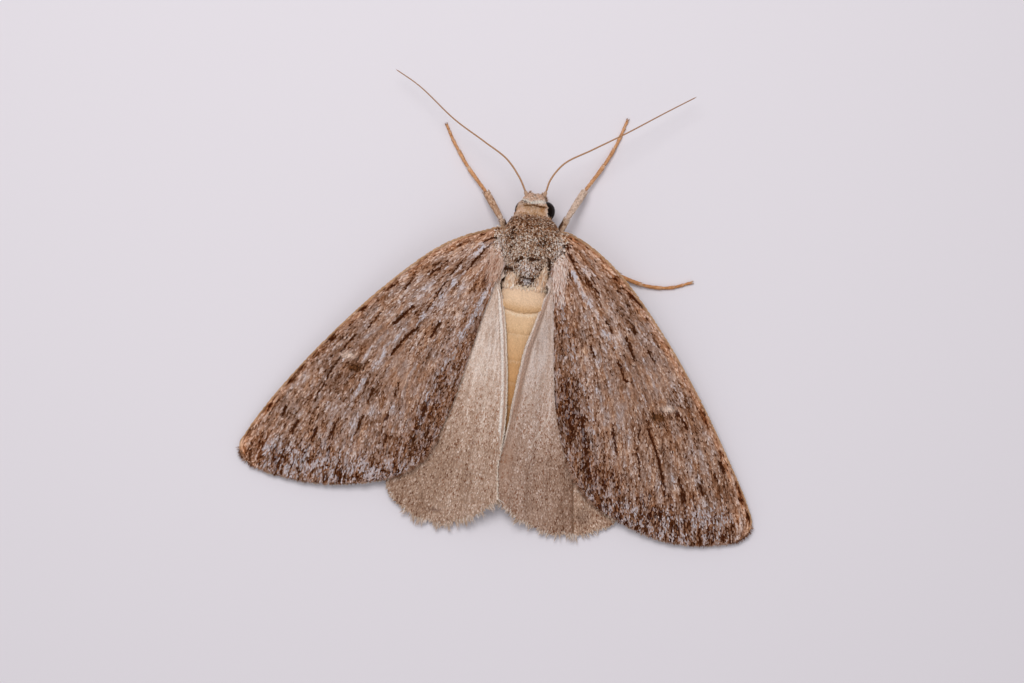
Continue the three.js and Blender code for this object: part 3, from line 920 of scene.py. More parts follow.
@dataclass
class Wing:
    """A wing: its plan, its form, its two coats of scales and its fringe.

    Attributes:
        side: Which side it is on.
        plans: The outlines for the two sides.
        node: The solid that it stands for, without the side.
        slot: The slot of its finish.
        scales: The finish of its scales.
        thickness: Of the wing's skin.
        last: The share from hinge to margin where the skin ends and the fringe takes over.
        rows: How many rows of points the skin has.
        columns: How many columns of points it has.
        pitch: The distances between two scales, along and across.
        scale_size: A scale's width, length and height.
        hub: The (out, back) place that the veins run out from.
        hub_reach: How far from it they begin to fan.
        seed: The seed of the chance values.
        fringe_pitch: The distance between two hairs of the fringe.
        fringe_hair: A hair's width, length and height.
        ragged: How far the hairs of a tuft lean to the same side, in radians.
    """

    side: Side
    plans: dict = field(default_factory=dict)
    node: str = ""
    slot: str = ""
    scales: Finish = WING_SCALES
    thickness: float = 0.09
    last: float = 0.988
    rows: int = 170
    columns: int = 76
    pitch: tuple = (0.12, 0.062)
    scale_size: tuple = (0.09, 0.26, 0.018)
    hub: tuple = (0.3, -1.5)
    hub_reach: float = 3.0
    seed: int = 20
    fringe_pitch: float = 0.009
    fringe_hair: tuple = (0.05, 0.3, 0.3)
    ragged: float = 0.0

    def __post_init__(self) -> None:
        """Lays the edges and the noises."""
        plan = self.plans[self.side]
        self.bulge, self.front_path, self.inner_path = plan.bulge, Path(plan.front), Path(plan.inner)
        self.hazard = Noise(11 if self.side is Side.LEFT else 12)

    @property
    def name(self) -> str:
        """The wing's name, with its side."""
        return f"{self.node}_{self.side.tag}"

    def plan(self, u: Array, v: Array) -> tuple:
        """The (out, back) place at shares u from hinge to margin and v from front to rear."""
        place = blend(self.front_path.at(u), self.inner_path.at(u), v)
        swell = self.bulge * np.sin(np.pi * capped(v)) ** 0.9 * smooth(0.75, 1, u)
        return place[:, 0], place[:, 1] + swell

    def height(self, out: Array, back: Array, u: Array, v: Array) -> Array:
        """Height of the middle of the skin, at a place given both ways."""
        raise NotImplementedError

    def surface(self, u: Array, v: Array) -> Array:
        """Places on the middle of the skin."""
        out, back = self.plan(u, v)
        return np.column_stack([self.side.value * out, back, self.height(out, back, u, v)])

    def frame_at(self, u: Array, v: Array) -> tuple:
        """Places on the middle of the skin, and directions there.

        Args:
            u: Shares from hinge to margin.
            v: Shares from front to rear.

        Returns:
            The places, the directions to the margin and the directions upwards.
        """
        step = 0.004
        along = unit(self.surface(capped(u + step), v) - self.surface(capped(u - step), v))
        across = unit(self.surface(u, capped(v + step)) - self.surface(u, capped(v - step)))
        up = unit(np.cross(along, across))
        up *= np.where(up[:, 2:] < 0, -1, 1)
        return self.surface(u, v), along, up

    def vein_angle(self, out: Array, back: Array) -> Array:
        """The direction of the veins, as the angle outwards from straight back."""
        return np.arctan2(out - self.hub[0], back - self.hub[1])

    def veins(self, out: Array, back: Array) -> tuple:
        """Where places lie among the veins, found by walking back along them to the hub.

        Args:
            out: How far out the places are.
            back: How far back they are.

        Returns:
            How far out along its vein each place is, and which vein it is on, as an angle.
        """
        here = np.column_stack([out, back])
        steps = 24
        for k in range(steps):
            reach = np.linalg.norm(here - self.hub, axis=1)
            step = np.maximum(reach - self.hub_reach, 0) / (steps - k)
            angle = self.vein_angle(*here.T)
            here = here - step[:, None] * np.column_stack([np.sin(angle), np.cos(angle)])
        spread = np.arctan2(here[:, 0] - self.hub[0], here[:, 1] - self.hub[1])
        return np.hypot(out - self.hub[0], back - self.hub[1]), spread

    def streaks(self, veins: tuple, length: float, width: float, seed: float) -> Array:
        """Noise drawn out along the veins, of even width all over the wing.

        Args:
            veins: What veins() gives for the places.
            length: The length of a streak.
            width: Its width.
            seed: A number that sets one noise apart from another.

        Returns:
            One value for each place.
        """
        run, spread = veins
        level = np.log2(np.maximum(run, self.hub_reach) / self.hub_reach)
        whole = np.floor(level)
        share = level - whole
        total = np.zeros(len(run))
        for k, weight in ((0, 1 - share), (1, share)):
            reach = self.hub_reach * 2.0 ** (whole + k)
            across = spread * reach + 5.7 * (whole + k)
            places = (run + seed, across + seed, run * 0 + seed)
            total += weight * self.hazard.at((length, width, 1), *places)
        return total / np.sqrt(share**2 + (1 - share) ** 2)

    def lie(self, out: Array, back: Array, up: Array) -> Array:
        """The direction in which the scales lie: along the veins."""
        flat = self.fan(out, back)
        return unit(flat - up * np.sum(flat * up, axis=1, keepdims=True))

    def colours(self, u: Array, v: Array, scatter: Array) -> Array:
        """The markings: a colour for each place, with its own chance value in scatter."""
        raise NotImplementedError

    def under_colours(self, u: Array, v: Array, scatter: Array) -> Array:
        """The plainer, paler colours of the underside."""
        colours = self.colours(u, v, scatter * 0.5)
        return blend(colours, (0.52, 0.41, 0.32), np.full(len(u), 0.75))

    def skin(self) -> Piece:
        """The wing's own skin: two faces and a rim."""
        rows, columns = self.rows, self.columns
        u = np.repeat(np.linspace(0, self.last, rows), columns)
        eased = (1 - np.cos(np.linspace(0, np.pi, columns))) / 2
        v = np.tile(0.3 * eased + 0.7 * np.linspace(0, 1, columns), rows)
        middle, _, up = self.frame_at(u, v)
        rim = np.minimum(np.minimum(v, 1 - v) * 25, np.minimum(self.last - u, 1) * 40)
        half = up * (self.thickness / 2 * capped(0.35 + rim))[:, None]
        points = np.vstack([middle + half, middle - half])
        still = np.zeros(len(u))
        tint = np.vstack([self.colours(u, v, still) * 0.7, self.under_colours(u, v, still)])
        return make_piece(self.name + "_skin", points, self._skin_faces(), tint, WING_SKIN)

    def _skin_faces(self) -> list:
        """Faces of the two sides and the rim, pointing outwards."""
        rows, columns = self.rows, self.columns
        number = np.arange(rows * columns).reshape(rows, columns)
        quads = np.stack([number[:-1, :-1], number[1:, :-1], number[1:, 1:], number[:-1, 1:]], axis=-1)
        quads = quads.reshape(-1, 4)
        rim = np.concatenate([number[:, 0], number[-1, 1:], number[-2::-1, -1], number[0, -2:0:-1]])
        turned = np.roll(rim, -1)
        below = rows * columns
        edge = np.stack([rim, turned, turned + below, rim + below], axis=-1)
        faces = np.vstack([quads, quads[:, ::-1] + below, edge[:, ::-1]])
        if self.side is Side.RIGHT:
            faces = faces[:, ::-1]
        return faces.tolist()

    def root_shares(self, sparseness: float, seed: int, first: float = 0.03) -> tuple:
        """Even staggered rows of roots over the wing.

        Args:
            sparseness: How much further apart they are than the pitch.
            seed: The seed of the chance values.
            first: The share from hinge to margin where the rows begin.

        Returns:
            The roots' shares from hinge to margin and from front to rear.
        """
        chance = draws(seed)
        length = (self.front_path.length + self.inner_path.length) / 2
        count = int(length * (self.last - first) / (self.pitch[0] * sparseness))
        us, vs = [], []
        for i in range(count):
            step = (self.last - first) / count
            row = first + step * (i + 0.5)
            ends = np.linalg.norm(self.front_path.at(row) - self.inner_path.at(row))
            across = max(int(ends / (self.pitch[1] * sparseness)), 2)
            places = np.arange(across) + 0.5 * (i % 2) + chance.uniform(-0.35, 0.35, across)
            vs.append(np.clip(places / across, 0.002, 0.998))
            us.append(row + step * chance.uniform(-0.6, 0.6, across))
        return np.concatenate(us), np.concatenate(vs)

    def roots(self, sparseness: float, seed: int, below: bool) -> Roots:
        """The roots of the scales on one face of the wing.

        Args:
            sparseness: How much further apart, and larger, the scales are.
            seed: The seed of the chance values.
            below: Whether it is the lower face.

        Returns:
            The roots.
        """
        u, v = self.root_shares(sparseness, seed)
        chance = draws(seed + 1)
        place, along, up = self.frame_at(u, v)
        out, back = self.plan(u, v)
        edge = smooth(0.07, 0.015, v) + smooth(0.94, 0.985, v) * smooth(1.0, 0.85, u)
        lie = unit(blend(self.lie(out, back, up), along, edge))
        scatter = np.clip(chance.normal(0, 1, len(u)), -2.4, 2.4)
        tint = self.under_colours(u, v, scatter) if below else self.colours(u, v, scatter)
        if below:
            up = -up
        size = np.array(self.scale_size) * chance.uniform(0.8, 1.2, (len(u), 3)) * sparseness**0.85
        place = place + up * self.thickness * 0.45 - lie * size[:, 1:2] * 0.5
        roots = Roots(place, lie, up, size, np.column_stack([u, v]), tint)
        calm = 1 - 0.85 * capped(edge)
        roots = roots.swirled(chance.normal(0, 0.17, len(u)) * calm)
        return roots.lifted(chance.uniform(0.03, 0.16, len(u)) * calm)

    def margin(self) -> list:
        """The (u, v) places along the outline that carry the fringe."""
        raise NotImplementedError

    def fringe_colours(self, share: Array, scatter: Array) -> Array:
        """The fringe's colours at shares of its length."""
        raise NotImplementedError

    def fringe(self, seed: int) -> Roots:
        """The roots of the hairs that stand out from the margin.

        Args:
            seed: The seed of the chance values.

        Returns:
            The roots.
        """
        chance = draws(seed)
        corners = np.array(self.margin())
        dense = np.concatenate([np.linspace(a, b, 60) for a, b in zip(corners, corners[1:])])
        line = self.surface(dense[:, 0], dense[:, 1])
        steps = np.concatenate([[0], np.cumsum(np.linalg.norm(np.diff(line, axis=0), axis=1))])
        count = int(steps[-1] / self.fringe_pitch)
        share = np.sort(chance.uniform(0, 1, count))
        u = np.interp(share * steps[-1], steps, dense[:, 0])
        v = np.interp(share * steps[-1], steps, dense[:, 1])
        place, _, up = self.frame_at(capped(u), v)
        fan = self.fan(np.abs(place[:, 0]), place[:, 1])
        lie = unit(self.outward(share, steps, line, up) + 0.5 * fan)
        reach = np.array(self.fringe_hair) * chance.uniform(0.8, 1.2, (count, 3))
        reach[:, 1] *= self.fringe_length(share, chance)
        place = place - lie * chance.uniform(0.03, 0.22, (count, 1))
        place = place + up * chance.uniform(-0.03, 0.03, (count, 1))
        tint = self.fringe_colours(share, chance.normal(0, 1, count))
        roots = Roots(place, lie, up, reach, np.column_stack([u, v]), tint)
        lean = self.ragged * self.hazard.at((0.012, 1, 1), share, share * 0 + 21)
        lean = lean + chance.normal(0, 0.13, count)
        return roots.swirled(lean).lifted(chance.normal(-0.02, 0.1, count))

    def outward(self, share: Array, steps: Array, line: Array, up: Array) -> Array:
        """The directions square to the outline at shares of its length."""
        ahead, behind = capped(share + 0.01) * steps[-1], capped(share - 0.01) * steps[-1]
        tangent = [np.interp(ahead, steps, axis) - np.interp(behind, steps, axis) for axis in line.T]
        return unit(np.cross(unit(np.column_stack(tangent)), up)) * self.side.value

    def fan(self, out: Array, back: Array) -> Array:
        """The level directions in which the veins run."""
        angle = self.vein_angle(out, back)
        return np.column_stack([self.side.value * np.sin(angle), np.cos(angle), np.zeros(len(out))])

    def fringe_length(self, share: Array, chance: np.random.Generator) -> Array:
        """How long each hair of the fringe is, next to the size given."""
        return chance.uniform(0.7, 1.15, len(share))

    def shoulder(self) -> None:
        """Makes the pieces over the hinge, on a wing that has them."""

    def build(self) -> None:
        """Makes the wing's skin, the coats of its two faces and its fringe."""
        declare(self.skin(), self.slot, self.name)
        self.shoulder()
        seed = self.seed + self.side.value
        top = self.roots(1.0, seed, below=False)
        top.dress(self.name + "_scales", Vane.SCALE, self.scales, self.slot)
        under = self.roots(2.2, seed + 10, below=True)
        under.dress(self.name + "_under_scales", Vane.SCALE, self.scales, self.slot)
        self.fringe(seed + 20).dress(self.name + "_fringe", Vane.HAIR, self.scales, self.slot)


FOREWING_DASHES = {
    Side.LEFT: strokes(
        (0.08, 1.1, (2.17, 0.28), (2.5, 0.42), (2.9, 0.66)), (0.06, 1.1, (2.35, 0.79), (2.9, 1.16)),
        (0.05, 0.8, (2.81, 1.26), (3.3, 1.9), (3.81, 2.66)), (0.055, 0.8, (4.1, 2.1), (4.75, 3.1)),
        (0.055, 0.8, (5.1, 2.2), (6.1, 3.3)), (0.05, 0.8, (5.0, 3.5), (5.5, 4.5), (6.0, 5.6)),
        (0.055, 0.9, (7.0, 3.25), (7.54, 4.35)), (0.09, 1.0, (6.88, 5.38), (7.93, 6.63)),
        (0.09, 1.0, (6.37, 6.68), (7.14, 7.38), (7.85, 8.59)),
        (0.09, 0.85, (5.06, 6.17), (5.53, 7.16)), (0.05, 0.6, (8.9, 6.0), (9.6, 7.2)),
        (0.06, 0.7, (10.3, 7.6), (11.2, 9.0)),
        (0.05, 0.9, (11.05, 9.12), (11.7, 10.4), (12.39, 12.21)),
        (0.07, 0.9, (8.75, 10.87), (8.95, 11.93)), (0.08, 1.0, (9.21, 12.65), (9.46, 13.98)),
        (0.06, 0.9, (7.1, 10.29), (7.32, 11.19)),
        (0.1, 1.1, (5.1, 11.06), (5.4, 12.1), (5.7, 13.1)), (0.08, 0.9, (7.59, 12.4), (7.76, 12.8)),
        (0.08, 1.0, (10.9, 13.57), (11.34, 14.82)), (0.07, 1.0, (12.0, 13.82), (12.22, 14.79)),
        (0.09, 1.0, (13.32, 13.65), (13.56, 14.43)), (0.09, 1.0, (14.12, 12.82), (14.36, 13.42)),
        (0.05, 0.9, (12.35, 15.13), (12.91, 16.79)),
    ),
    Side.RIGHT: strokes(
        (0.11, 1.1, (2.02, 0.2), (2.45, 0.43)), (0.045, 1.1, (1.92, 0.6), (2.05, 0.7), (2.17, 0.6)),
        (0.07, 1.1, (2.43, 0.79), (2.8, 1.28)), (0.05, 0.8, (2.8, 1.3), (3.5, 2.3)),
        (0.055, 0.8, (4.1, 2.1), (4.75, 3.1)), (0.09, 0.8, (6.57, 2.8), (7.61, 3.51)),
        (0.08, 1.0, (7.0, 4.61), (7.37, 5.2)), (0.07, 0.9, (5.41, 4.65), (5.84, 5.33)),
        (0.08, 0.8, (4.61, 6.26), (4.98, 7.03)), (0.09, 1.0, (6.87, 5.67), (7.51, 6.9)),
        (0.1, 1.1, (6.52, 7.21), (7.14, 8.34)), (0.07, 0.9, (8.25, 6.14), (8.88, 6.9)),
        (0.08, 1.2, (10.64, 9.77), (11.51, 10.8)),
        (0.05, 0.85, (8.5, 11.2), (8.51, 12.7), (8.99, 14.41)),
        (0.08, 1.1, (8.94, 11.1), (9.81, 12.6), (10.32, 13.96), (10.73, 15.26)),
        (0.1, 1.0, (4.69, 10.89), (5.0, 12.1), (5.29, 13.3)),
        (0.06, 0.9, (6.73, 11.19), (7.24, 13.1)), (0.09, 1.0, (11.63, 14.52), (11.94, 15.33)),
        (0.09, 1.0, (12.84, 14.32), (13.15, 14.93)), (0.09, 1.0, (13.84, 12.62), (14.25, 13.32)),
        (0.08, 1.0, (13.65, 13.42), (13.9, 13.92)),
    ),
}
PALE_LINES = {
    Side.LEFT: strokes(
        (0.2, 0.8, (3.0, 0.9), (4.2, 2.9), (5.77, 5.46), (7.92, 7.9), (9.34, 10.15), (10.0, 11.8)),
        (0.14, 0.5, (5.6, 3.4), (7.2, 5.6), (8.6, 7.6), (9.6, 9.0)),
        (0.2, 0.7, (2.5, 4.0), (3.3, 6.2), (4.2, 8.6), (5.1, 10.45), (5.6, 12.0)),
        (0.12, 0.6, (3.0, 5.4), (3.7, 7.6), (4.6, 9.6)),
    ),
    Side.RIGHT: strokes(
        (0.17, 1.1, (2.9, 1.9), (3.47, 2.85), (4.9, 4.7), (6.17, 6.23)),
        (0.14, 0.6, (6.17, 6.23), (7.92, 8.5), (9.0, 10.0)),
        (0.14, 0.5, (5.6, 3.4), (7.2, 5.6), (8.6, 7.6), (9.6, 9.0)),
        (0.2, 0.7, (2.5, 4.0), (3.3, 6.2), (4.2, 8.6), (5.1, 10.45), (5.6, 12.0)),
        (0.12, 0.6, (3.0, 5.4), (3.7, 7.6), (4.6, 9.6)),
    ),
}
SHARED_SPOTS = [  # how much lighter both forewings are: (out, back), half sizes, amount
    ((10.25, 10.4), (0.6, 0.6), -0.2), ((7.3, 14.4), (0.7, 0.7), -0.2), ((9.0, 11.3), (0.6, 0.5), -0.1),
    ((5.5, 13.2), (0.7, 1.0), -0.12), ((12.6, 15.2), (1.6, 0.7), -0.06), ((8.4, 7.6), (1.3, 1.3), 0.05),
    ((7.0, 10.0), (1.1, 1.0), 0.05), ((11.5, 12.6), (1.5, 0.9), 0.06), ((15.8, 15.6), (1.0, 1.2), 0.1),
]
FOREWING_SPOTS = {  # the same for each forewing on its own
    Side.LEFT: [
        ((4.0, 3.0), (1.0, 1.2), -0.04), ((7.2, 4.0), (1.1, 0.9), 0.19),
        ((7.0, 7.0), (1.0, 1.0), 0.05), ((8.5, 11.0), (1.0, 1.0), -0.14),
        ((4.2, 10.5), (0.8, 1.5), -0.13), ((11.0, 14.0), (1.3, 1.0), -0.1),
        ((15.4, 15.8), (0.9, 0.9), -0.32), ((11.5, 9.5), (1.2, 1.3), -0.04),
        ((6.0, 14.8), (1.0, 0.9), -0.03),
    ],
    Side.RIGHT: [
        ((4.0, 3.0), (1.0, 1.2), -0.03), ((7.2, 4.0), (1.2, 1.0), -0.03),
        ((7.0, 7.0), (1.2, 1.2), -0.1), ((4.0, 10.5), (1.0, 2.0), -0.36),
        ((10.0, 16.8), (2.2, 0.8), -0.08), ((15.4, 15.8), (0.8, 0.8), 0.06),
        ((5.8, 14.5), (0.9, 0.9), -0.18), ((11.5, 9.5), (1.2, 1.3), -0.15),
        ((8.5, 11.0), (0.8, 0.8), -0.06),
    ],
}


@dataclass
class Forewing(Wing):
    """The brown forewing, streaked and dashed along its veins."""

    plans: dict = field(default_factory=lambda: FOREWING_PLANS)
    node: str = "forewing"
    slot: str = "forewing"
    discal_marks: dict = field(default_factory=lambda: {
        Side.LEFT: ((10.57, 9.05), (10.05, 9.75)), Side.RIGHT: ((10.12, 9.72), (9.55, 10.35)),
    })
    browns: list = field(default_factory=lambda: [
        (0.05, 0.01, 0.001), (0.135, 0.047, 0.018), (0.24, 0.115, 0.066), (0.345, 0.19, 0.127),
        (0.45, 0.275, 0.2), (0.56, 0.375, 0.297), (0.74, 0.58, 0.53),
    ])

    def height(self, out: Array, back: Array, u: Array, v: Array) -> Array:
        """Height of the middle of the wing's skin, with pleats between its veins.

        Args:
            out: How far out the places are.
            back: How far back they are.
            u: Their shares from hinge to margin.
            v: Their shares from front to rear.

        Returns:
            One height for each place.
        """
        outer = smooth(0.3, 0.95, u)
        pleats = 0.035 * np.cos(2 * np.pi * 8 * v) * outer * smooth(0, 0.1, v) * smooth(1, 0.92, v)
        costa = 0.07 * bell(v, 0.012, 0.012) * smooth(1.0, 0.8, u)
        camber = 0.1 * np.sin(np.pi * v) * smooth(0.1, 0.4, u) * smooth(1, 0.7, u)
        tuft = 0.12 * spot(out, back, (10.3, 9.2), (0.4, 0.3))
        tuft = tuft - 0.07 * spot(out, back, (10.1, 9.95), (0.5, 0.25))
        base = 0.1 * smooth(0.12, 0.0, u)
        return roof(out, back) + WING_GAP + 0.12 + pleats + costa + camber + tuft - base

    def vein_angle(self, out: Array, back: Array) -> Array:
        """The veins fan out from the hinge and then turn backwards."""
        fanned = np.arctan2(out - self.hub[0], np.maximum(back - self.hub[1], 0.3))
        turned = 0.95 - 0.028 * np.clip(back, 0, 18)
        behind = 1 - 0.3 * smooth(8, 12, back) * bell(fanned, math.radians(30), math.radians(6))
        return fanned * turned * behind

    def tone(self, out: Array, back: Array, u: Array, v: Array) -> Array:
        """How light the wing is at each place, before the streaks and dashes.

        Args:
            out: How far out the places are.
            back: How far back they are.
            u: Their shares from hinge to margin.
            v: Their shares from front to rear.

        Returns:
            One value for each place.
        """
        tone = np.full(len(u), 0.555 + 0.01 * self.side.value)
        tone += 0.03 * smooth(0.3, 0.05, u)
        tone -= 0.17 * smooth(0.74, 0.93, v) * smooth(0.12, 0.3, u)
        tone -= 0.15 * smooth(0.86, 0.94, u) * smooth(0.02, 0.15, v)
        tone -= 0.08 * smooth(0.72, 0.84, u) * smooth(0.35, 0.7, v)
        for middle, size, amount in SHARED_SPOTS + FOREWING_SPOTS[self.side]:
            tone += amount * spot(out, back, middle, size)
        return tone

    def colours(self, u: Array, v: Array, scatter: Array) -> Array:
        """The forewing's markings.

        Args:
            u: Shares from hinge to margin.
            v: Shares from front to rear.
            scatter: A chance value for each place.

        Returns:
            The colours.
        """
        out, back = self.plan(u, v)
        veins = self.veins(out, back)
        costa = v * (2.0 + 9 * u)  # how far a place is from the front edge
        outer = smooth(0.78, 0.88, u)
        clumps = self.streaks(veins, 0.55, 0.3, 19.0)
        streak = self.streaking(veins, u, clumps)
        plain = spot(out, back, (8.4, 7.6), (1.3, 1.6)) + spot(out, back, (7.0, 10.0), (1.2, 1.4))
        rough = 1 - 0.45 * capped(plain) + 0.4 * smooth(0.84, 0.93, u)
        tone = self.tone(out, back, u, v) + rough * (streak + 0.2 * scatter)
        costal = smooth(0.55, 0.2, costa) * smooth(0.02, 0.1, u) * smooth(0.0, 0.06, costa)
        patches = self.hazard.at((0.45, 0.25, 1), u * 21 + 70, costa)
        tone += costal * (0.09 - 0.5 * np.maximum(patches - 0.05, 0))
        wander = 0.04 * self.hazard.at((0.25, 0.25, 1), out + 5, back + 40)
        broken = np.clip(0.55 + 0.75 * self.streaks(veins, 0.35, 0.12, 55.0), 0, 1.3)
        pale = shown(PALE_LINES[self.side], out + wander, back) * broken
        tone += 0.32 * pale
        dark = shown(FOREWING_DASHES[self.side], out + wander, back)
        dark = capped(dark * (1.9 + 0.8 * self.streaks(veins, 0.3, 0.07, 12.0) - 0.3 * scatter))
        tone = tone * (1 - dark) + 0.01 * dark
        hue = self.streaks(veins, 0.9, 0.25, 44.0) + 0.7 * self.streaks(veins, 0.25, 0.1, 91.0)
        colour = tinged(ramp(self.browns, tone), hue + 0.4 * scatter, (0.05, -0.02, -0.11))
        warm = (0.8 - 0.1 * self.side.value) * costal
        warm += 0.6 * spot(out, back, (15.9, 15.6), (1.1, 1.3))
        warm += 0.12 * outer * smooth(0.3, -0.3, clumps)
        colour = tinged(colour, capped(warm + 0.3 * smooth(0.3, 0.1, u)), (0.22, 0.0, -0.22))
        frost = pale + smooth(0.84, 0.92, u) * smooth(0.04, 0.2, v) * (1.0 + 0.6 * clumps)
        lilac = smooth(0.55, 0.8, tone) * np.clip(frost + 0.6 * smooth(0.7, 0.9, v), 0.15, 1)
        colour = blend(colour, colour.mean(axis=1, keepdims=True) * (1.02, 0.98, 1.1), 0.7 * lilac)
        dusted = smooth(0.8, 0.92, u) * smooth(0.12, 0.35, v)
        dusted += 0.4 * smooth(0.6, 0.85, v) * smooth(0.2, 0.5, u)
        fleck = 0.8 * self.streaks(veins, 0.24, 0.1, 63.0) + 0.3 * clumps + 0.4 * scatter
        fleck = smooth(0.25 - 0.05 * self.side.value, 1.0, fleck) * capped(dusted)
        colour = blend(colour, (0.66, 0.56, 0.57), 0.7 * fleck)
        rim = smooth(0.1, 0.03, costa) * smooth(0.995, 0.9, u)
        colour = blend(colour, (0.6, 0.36, 0.2), rim * 0.85)
        tuft, bar = self.discal_marks[self.side]
        brown = flecked((0.12, 0.04, 0.01), 0.5 * scatter + 0.3 * streak / 0.2)
        bar = (2.0 + 0.5 * clumps) * spot(out, back, bar, (0.48, 0.27)) - 0.15
        colour = blend(colour, capped(brown), np.clip(bar, 0, 0.93))
        tuft = spot(out, back, tuft, (0.38, 0.18)) * (0.95 + 0.1 * scatter)
        colour = blend(colour, (0.95, 0.73, 0.61), tuft)
        return self.base_colours(colour, out, back, scatter)

    def streaking(self, veins: tuple, u: Array, clumps: Array) -> Array:
        """The fine and broad streaks along the veins.

        Args:
            veins: What veins() gives for the places.
            u: Shares from hinge to margin.
            clumps: Coarser noise, which shows more towards the margin.

        Returns:
            How much lighter each place is.
        """
        streak = 0.16 * self.streaks(veins, 0.42, 0.075, 0.0)
        streak = streak + 0.13 * self.streaks(veins, 1.4, 0.11, 31.0)
        streak += 0.05 * self.streaks(veins, 2.5, 0.8, 3.0)
        streak += (0.05 + 0.06 * smooth(0.78, 0.88, u)) * clumps
        return streak + 0.14 * smooth(0.42, 0.2, u) * self.streaks(veins, 2.2, 0.09, 77.0)

    def base_colours(self, colour: Array, out: Array, back: Array, scatter: Array) -> Array:
        """The colours with the pinkish-white streak behind the shoulder worked in."""
        streak = self.base_streak(out, back)
        pale = flecked((0.74, 0.55, 0.48), 0.12 * scatter)
        return blend(colour, pale, streak * (0.8 + 0.15 * scatter))

    def base_streak(self, out: Array, back: Array) -> Array:
        """How strongly the pale streak behind the shoulder shows."""
        if self.side is Side.LEFT:
            line = Stroke([(2.1, 1.1), (2.0, 1.9), (2.0, 2.7), (2.2, 3.3)], 0.42, 1.0)
            return line.at(out, back) * smooth(3.5, 2.0, back)
        line = Stroke([(2.0, 1.1), (2.05, 2.2), (2.15, 3.4), (2.4, 4.3)], 0.36, 1.0)
        return line.at(out, back) * smooth(4.6, 2.2, back)

    def margin(self) -> list:
        """From before the tip, along the margin and round the rear corner."""
        end = self.last
        return [(0.93, 0.0), (end, 0.0), (end, 0.33), (end, 0.66), (end, 1.0), (0.72, 1.0)]

    def fringe_colours(self, share: Array, scatter: Array) -> Array:
        """Brown hairs, darker between the veins."""
        dark = capped(0.5 + 0.9 * self.hazard.at((0.02, 1, 1), share, share * 0))
        return ramp(self.browns, 0.62 - 0.36 * dark + 0.12 * scatter)

    def mantle(self) -> Roots:
        """Roots of the body's own salt-and-pepper scales, spread over the hinge."""
        u, v = draws(25).uniform(0, 0.16, 24000), draws(26).uniform(0, 1, 24000)
        out, back = self.plan(u, v)
        edge = out + 0.12 * self.hazard.at((0.2, 0.2, 1), out, back)
        inside = (edge < 2.25 - 0.1 * back) & (back < 1.5) & (out > 1.3)
        u, v = u[inside][:2400], v[inside][:2400]
        place, _, up = self.frame_at(u, v)
        chance = draws(27)
        reach = np.array((0.075, 0.215, 0.03)) * chance.uniform(0.75, 1.25, (len(u), 3))
        tint = Trunk().thorax_colours(place, chance.normal(0, 1, len(u)))
        slits = shown(FOREWING_DASHES[self.side][:3], out[inside][:len(u)], back[inside][:len(u)])
        tint = blend(tint, (0.04, 0.013, 0.006), np.clip(slits * 1.3, 0, 0.97))
        back_lie = np.tile((0.25 * self.side.value, 1.0, 0.0), (len(u), 1))
        roots = Roots(place + up * 0.03, back_lie, up, reach, np.column_stack([u, v]), tint)
        return roots.ruffled((0.1, 0.7), 0.6, 28)

    def base_hairs(self) -> Roots:
        """Long pale hairs that sweep back over the wing from the shoulder."""
        chance = draws(29)
        u, v = chance.uniform(0.01, 0.3, 9000), chance.uniform(0.1, 1, 9000)
        out, back = self.plan(u, v)
        inside = chance.uniform(0.15, 0.9, len(u)) < self.base_streak(out, back)
        u, v, out, back = u[inside], v[inside], out[inside], back[inside]
        place, _, up = self.frame_at(u, v)
        count = len(u)
        reach = np.array((0.06, 0.55, 0.3)) * chance.uniform(0.5, 1.2, (count, 3))
        pinks = [(0.34, 0.15, 0.08), (0.68, 0.44, 0.34), (0.9, 0.68, 0.58), (0.97, 0.83, 0.77)]
        tint = ramp(pinks, 0.62 + 0.42 * chance.normal(0, 1, count))
        if self.side is Side.LEFT:
            tint = tint * (0.84, 0.73, 0.65)
        lie = np.tile((0.2 * self.side.value, 1.0, 0.0), (count, 1))
        roots = Roots(place + up * 0.03, lie, up, reach, np.column_stack([u, v]), tint)
        return roots.ruffled((0.0, 0.25), 0.22, 30)

    def shoulder(self) -> None:
        """Makes the mantle and the long hairs over the hinge."""
        self.mantle().dress(self.name + "_mantle", Vane.SCALE, GRAINS, "fur")
        self.base_hairs().dress(self.name + "_base_hairs", Vane.LOCK, BODY_FUR, "fur")


# Pale lines along creases of the hindwing membrane: painted highlight.
HINDWING_CREASE_HIGHLIGHTS = {
    Side.LEFT: strokes(
        (0.05, 0.7, (2.24, 8.2), (1.68, 9.15)), (0.05, 0.4, (1.68, 9.15), (1.5, 11.5), (1.5, 13.5)),
    ),
    Side.RIGHT: strokes(
        (0.05, 0.8, (2.5, 8.25), (1.69, 9.3), (0.94, 10.75)),
        (0.05, 0.7, (2.62, 11.2), (1.7, 13.4)),
        (0.05, 0.6, (1.55, 4.4), (1.2, 6.2), (0.85, 8.4), (0.7, 10.0)),
    ),
}


